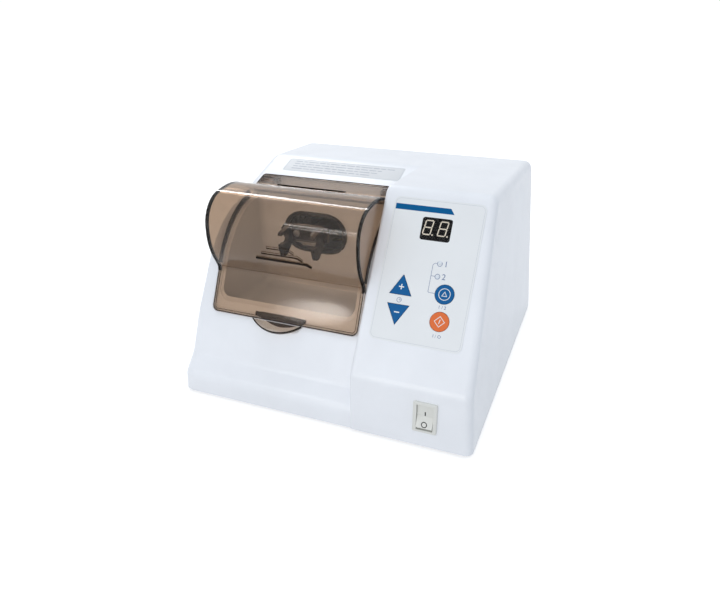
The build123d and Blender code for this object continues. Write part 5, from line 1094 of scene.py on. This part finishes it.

# %% [markdown]
# The ribs and the finger tab are small thick places in the sheet, so their edges get painted
# dark lines of shade too, and a painted dark line runs across the rear flange behind the dome's
# heel. The lowest rib is the deepest and has the boldest line.

# %% Painted shade lines of the ribs, the tab and the heel
# Name, left end, right end, height and radius in millimetres.
RIBS = (
    ("low", -63.0, -17.5, 127.0, 0.95),
    ("middle", -57.5, -24.7, 131.9, 0.62),
    ("top", -52.0, -31.9, 137.2, 0.48),
)
RIB_OUT = 0.45 * MM
RIB_STEPS = 6
HOOK_ACROSS = 4.0
HOOK_DOWN = 2.8
TAB_MIDDLE = -45.0 * MM
TAB_REACH = 24.0 * MM
TAB_BOW = 32.7 * MM
TAB_LINE = 0.6 * MM
TAB_STEPS = 12
HEEL_LEFT = -87.0 * MM
HEEL_RIGHT = -19.0 * MM
HEEL_BACK = -12.2 * MM
HEEL_LINE = 0.8 * MM
HEEL_STEPS = 8


def dome_point(x, z):
    """Just outside the lid where a line from the front meets it, in millimetres across and up."""
    return front_seat("lid", x * MM, z * MM) @ Vector((0, 0, RIB_OUT))


for name, left, right, low, radius in RIBS:
    line = [dome_point(x, low) for x in stepped(left, right, RIB_STEPS)]
    line.append(dome_point(right + HOOK_ACROSS, low - HOOK_DOWN))
    lid_piece(bead(line, radius * MM), "rib_line_" + name, smoked_edge)

tab_seat = seat_on("lid", (TAB_MIDDLE, lid_low.y + 2 * MM, lid_high.z + ABOVE), DOWN)
tab_low = min(p.y for p in face_of("lid", tab_seat))
arc = []
for step in range(-TAB_STEPS, TAB_STEPS + 1):
    x = (TAB_REACH - TAB_LINE) * step / TAB_STEPS
    y = tab_low + TAB_LINE + TAB_BOW - (TAB_BOW ** 2 - x ** 2) ** 0.5
    arc.append(tab_seat @ Vector((x, y, -LINE_SUNK)))
lid_piece(bead(arc, TAB_LINE), "tab_line", smoked_edge)
heel_line = []
for x in stepped(HEEL_LEFT, HEEL_RIGHT, HEEL_STEPS):
    heel_line.append(seat_on("lid", (x, HEEL_BACK, lid_high.z + ABOVE), DOWN).translation)
lid_piece(bead(heel_line, HEEL_LINE), "heel_line", smoked_edge)
print("heel line at height", round(heel_line[0].z / MM, 1))
print("tab ends", round(tab_low / MM, 1), "mm down its slope")

# %% [markdown]
# Under the flange's end the housing has a finger scoop. The shade in its upper half is
# painted: a dark sheet, a grid shaped into a crescent, that a Shrinkwrap modifier lays onto
# the scoop and a Solidify modifier thickens.

# %% Painted shade in the finger scoop
SHADE_CUTS = (48, 12)
SHADE_HALF = 24.0 * MM
SHADE_SHIFT = 2.0 * MM
SHADE_TOP = 3.4 * MM
SHADE_END = 3.2 * MM
SHADE_LOW = 8.0 * MM
SHADE_ABOVE = 3 * MM
SHADE_THICK = 0.3 * MM
SHADE_GAP = 0.05 * MM

# Painted shade: a dark brown sheet stands in for the shade in the scoop's upper half.
pad_brown = rubber("pad_brown", paint(40, 30, 25))
plate_foot = min(p.y for p in face_of("lid", plate_seat))
start_clean()
bpy.ops.mesh.primitive_grid_add(x_subdivisions=SHADE_CUTS[0], y_subdivisions=SHADE_CUTS[1], size=2)
shade_sheet = bpy.context.object
for vertex in shade_sheet.data.vertices:
    x, share = vertex.co.x, (vertex.co.y + 1) / 2
    bow = 1 - x ** 2
    low = -SHADE_LOW * bow + (SHADE_TOP - SHADE_END) * (1 - bow)
    vertex.co = (x * SHADE_HALF, low + (SHADE_TOP - low) * share, SHADE_ABOVE)
shade_x = TAB_MIDDLE + SHADE_SHIFT - plate_seat.translation.x
lay(shade_sheet, plate_seat @ Matrix.Translation((shade_x, plate_foot, 0)), sink=0)
lowered = shade_sheet.modifiers.new("onto_scoop", "SHRINKWRAP")
lowered.target = nodes["top_housing"]
lowered.wrap_method = "PROJECT"
lowered.use_project_y = True
lowered.use_negative_direction = True
lowered.use_positive_direction = True
lowered.offset = SHADE_GAP
sheet = shade_sheet.modifiers.new("sheet", "SOLIDIFY")
sheet.thickness = SHADE_THICK
sheet.offset = 1.0
for modifier in ("onto_scoop", "sheet"):
    bpy.ops.object.modifier_apply(modifier=modifier)
name_it(shade_sheet, "scoop_pad", pad_brown, "case")
shade_low = min(v.co.z for v in shade_sheet.data.vertices)
shade_high = max(v.co.z for v in shade_sheet.data.vertices)
print("pad between heights", round(shade_low / MM, 1), "and", round(shade_high / MM, 1))

# %% [markdown]
# ## Studio
# The floor is a large pale sheet and the world is white where it is looked at or mirrored.
# The light on the object is set apart from that background: an even, slightly blue glow from
# all round, as in a light tent.

# %% Floor and surroundings
FLOOR_SIZE = 24.0
FLOOR_COLOUR = 0.65
FLOOR_GLOW = 0.62
AMBIENT = 0.735
AMBIENT_COLOUR = (0.85, 0.91, 0.99, 1)
WHITE = (1, 1, 1, 1)


def rays_of_sight(owner):
    """One for rays that are looked along or mirrored or seen through glass, else nought."""
    path = add(owner, "ShaderNodeLightPath")
    total = path.outputs["Is Camera Ray"]
    for kind in ("Is Glossy Ray", "Is Transmission Ray"):
        most = add(owner, "ShaderNodeMath")
        most.operation = "MAXIMUM"
        join(owner, total, most.inputs[0])
        join(owner, path.outputs[kind], most.inputs[1])
        total = most.outputs[0]
    return total


def pale_floor():
    """Diffuse floor that glows a little where it is seen, so that it nears white."""
    finish, shader = new_finish("pale_floor", (FLOOR_COLOUR, FLOOR_COLOUR, FLOOR_COLOUR, 1), 0.9)
    put(shader, Specular_IOR_Level=0.0, Emission_Color=WHITE)
    strength = add(finish, "ShaderNodeMath")
    strength.operation = "MULTIPLY"
    strength.inputs[1].default_value = FLOOR_GLOW
    join(finish, rays_of_sight(finish), strength.inputs[0])
    join(finish, strength.outputs[0], shader.inputs["Emission Strength"])
    return finish


start_clean()
bpy.ops.mesh.primitive_plane_add(size=FLOOR_SIZE, location=(0, 0, 0))
floor = bpy.context.object
floor.name = "studio_floor"
floor.data.materials.append(pale_floor())

world = bpy.data.worlds.new("studio")
bpy.context.scene.world = world
world.use_nodes = True
glow = put(world.node_tree.nodes["Background"], Color=AMBIENT_COLOUR, Strength=AMBIENT)
backdrop = add(world, "ShaderNodeBackground", Color=WHITE, Strength=1.0)
swap = add(world, "ShaderNodeMixShader")
join(world, rays_of_sight(world), swap.inputs["Fac"])
join(world, glow.outputs["Background"], swap.inputs[1])
join(world, backdrop.outputs["Background"], swap.inputs[2])
join(world, swap.outputs["Shader"], world.node_tree.nodes["World Output"].inputs["Surface"])
print("floor", FLOOR_SIZE, "m wide, surroundings at", AMBIENT)

# %% [markdown]
# A large soft lamp hangs overhead and a smaller one stands in front. The others are there for
# the smoked lid alone, because a clear thing shows little but what it mirrors: four ovals make
# a small window with a soft rim, one lamp lays a band across the belly, a long one behind
# draws the streak, and the last one lights the rear flange.

# %% Lamps
LAMP_TARGET = Vector((0, 0, 0.09))
LAMP_WARM = (1.0, 0.95, 0.89)
LAMP_WHITE = (1, 1, 1)
LEVEL = (1, 0, 0)
# Name, place in metres, size in metres, power in watts, colour, line of the long side.
LAMPS = (
    ("overhead_lamp", (0.0, 0.2, 1.5), (1.4, 1.4), 2.4, LAMP_WARM, LEVEL),
    ("front_lamp", (0.0, -1.6, 0.38), (1.0, 0.7), 5.7, LAMP_WARM, LEVEL),
    ("belly_lamp", (-0.49, -1.03, 0.71), (0.19, 0.10), 0.5, LAMP_WHITE, (0.18, -0.05, 0.02)),
    ("streak_lamp", (-0.575, 0.745, 0.85), (0.50, 0.13), 2.2, LAMP_WHITE, (0.37, -0.01, 0.21)),
    ("flange_lamp", (-0.487, 0.618, 0.95), (0.40, 0.16), 0.3, LAMP_WHITE, (0.75, 0.62, -0.07)),
)
WINDOW_PLACE = Vector((-0.487, -1.09, 0.555))
WINDOW_SIZE = (0.21, 0.068)
WINDOW_ALONG = (0.17, -0.03, 0.03)
WINDOW_POWER = 0.115
# How far each one of the four is shifted, in metres, and its share of the full size.
WINDOW_PANES = ((0.0, 1.0), (0.008, 0.82), (0.016, 0.64), (0.026, 0.46))


def soft_lamp(name, place, size, power, colour, along):
    """An area lamp, turned to the machine, its long side along a line."""
    start_clean()
    bpy.ops.object.light_add(type="AREA", location=place)
    lamp = bpy.context.object
    lamp.name = name
    lamp.data.shape = "RECTANGLE"
    lamp.data.size = size[0]
    lamp.data.size_y = size[1]
    lamp.data.energy = power
    lamp.data.color = colour
    away = (Vector(place) - LAMP_TARGET).normalized()
    side = Vector(along)
    side = (side - away * side.dot(away)).normalized()
    lamp.rotation_euler = Matrix((side, away.cross(side), away)).transposed().to_euler()
    return lamp


for lamp_values in LAMPS[:2]:
    soft_lamp(*lamp_values)
for number, (shift, share) in enumerate(WINDOW_PANES, start=1):
    place = WINDOW_PLACE + Vector((shift, 0, shift / 4))
    size = (WINDOW_SIZE[0] * share, WINDOW_SIZE[1] * share)
    power = WINDOW_POWER * share ** 2
    pane = soft_lamp(f"window_lamp_{number}", place, size, power, LAMP_WHITE, WINDOW_ALONG)
    pane.data.shape = "ELLIPSE"
for lamp_values in LAMPS[2:]:
    soft_lamp(*lamp_values)

bpy.context.scene.view_settings.view_transform = "Standard"
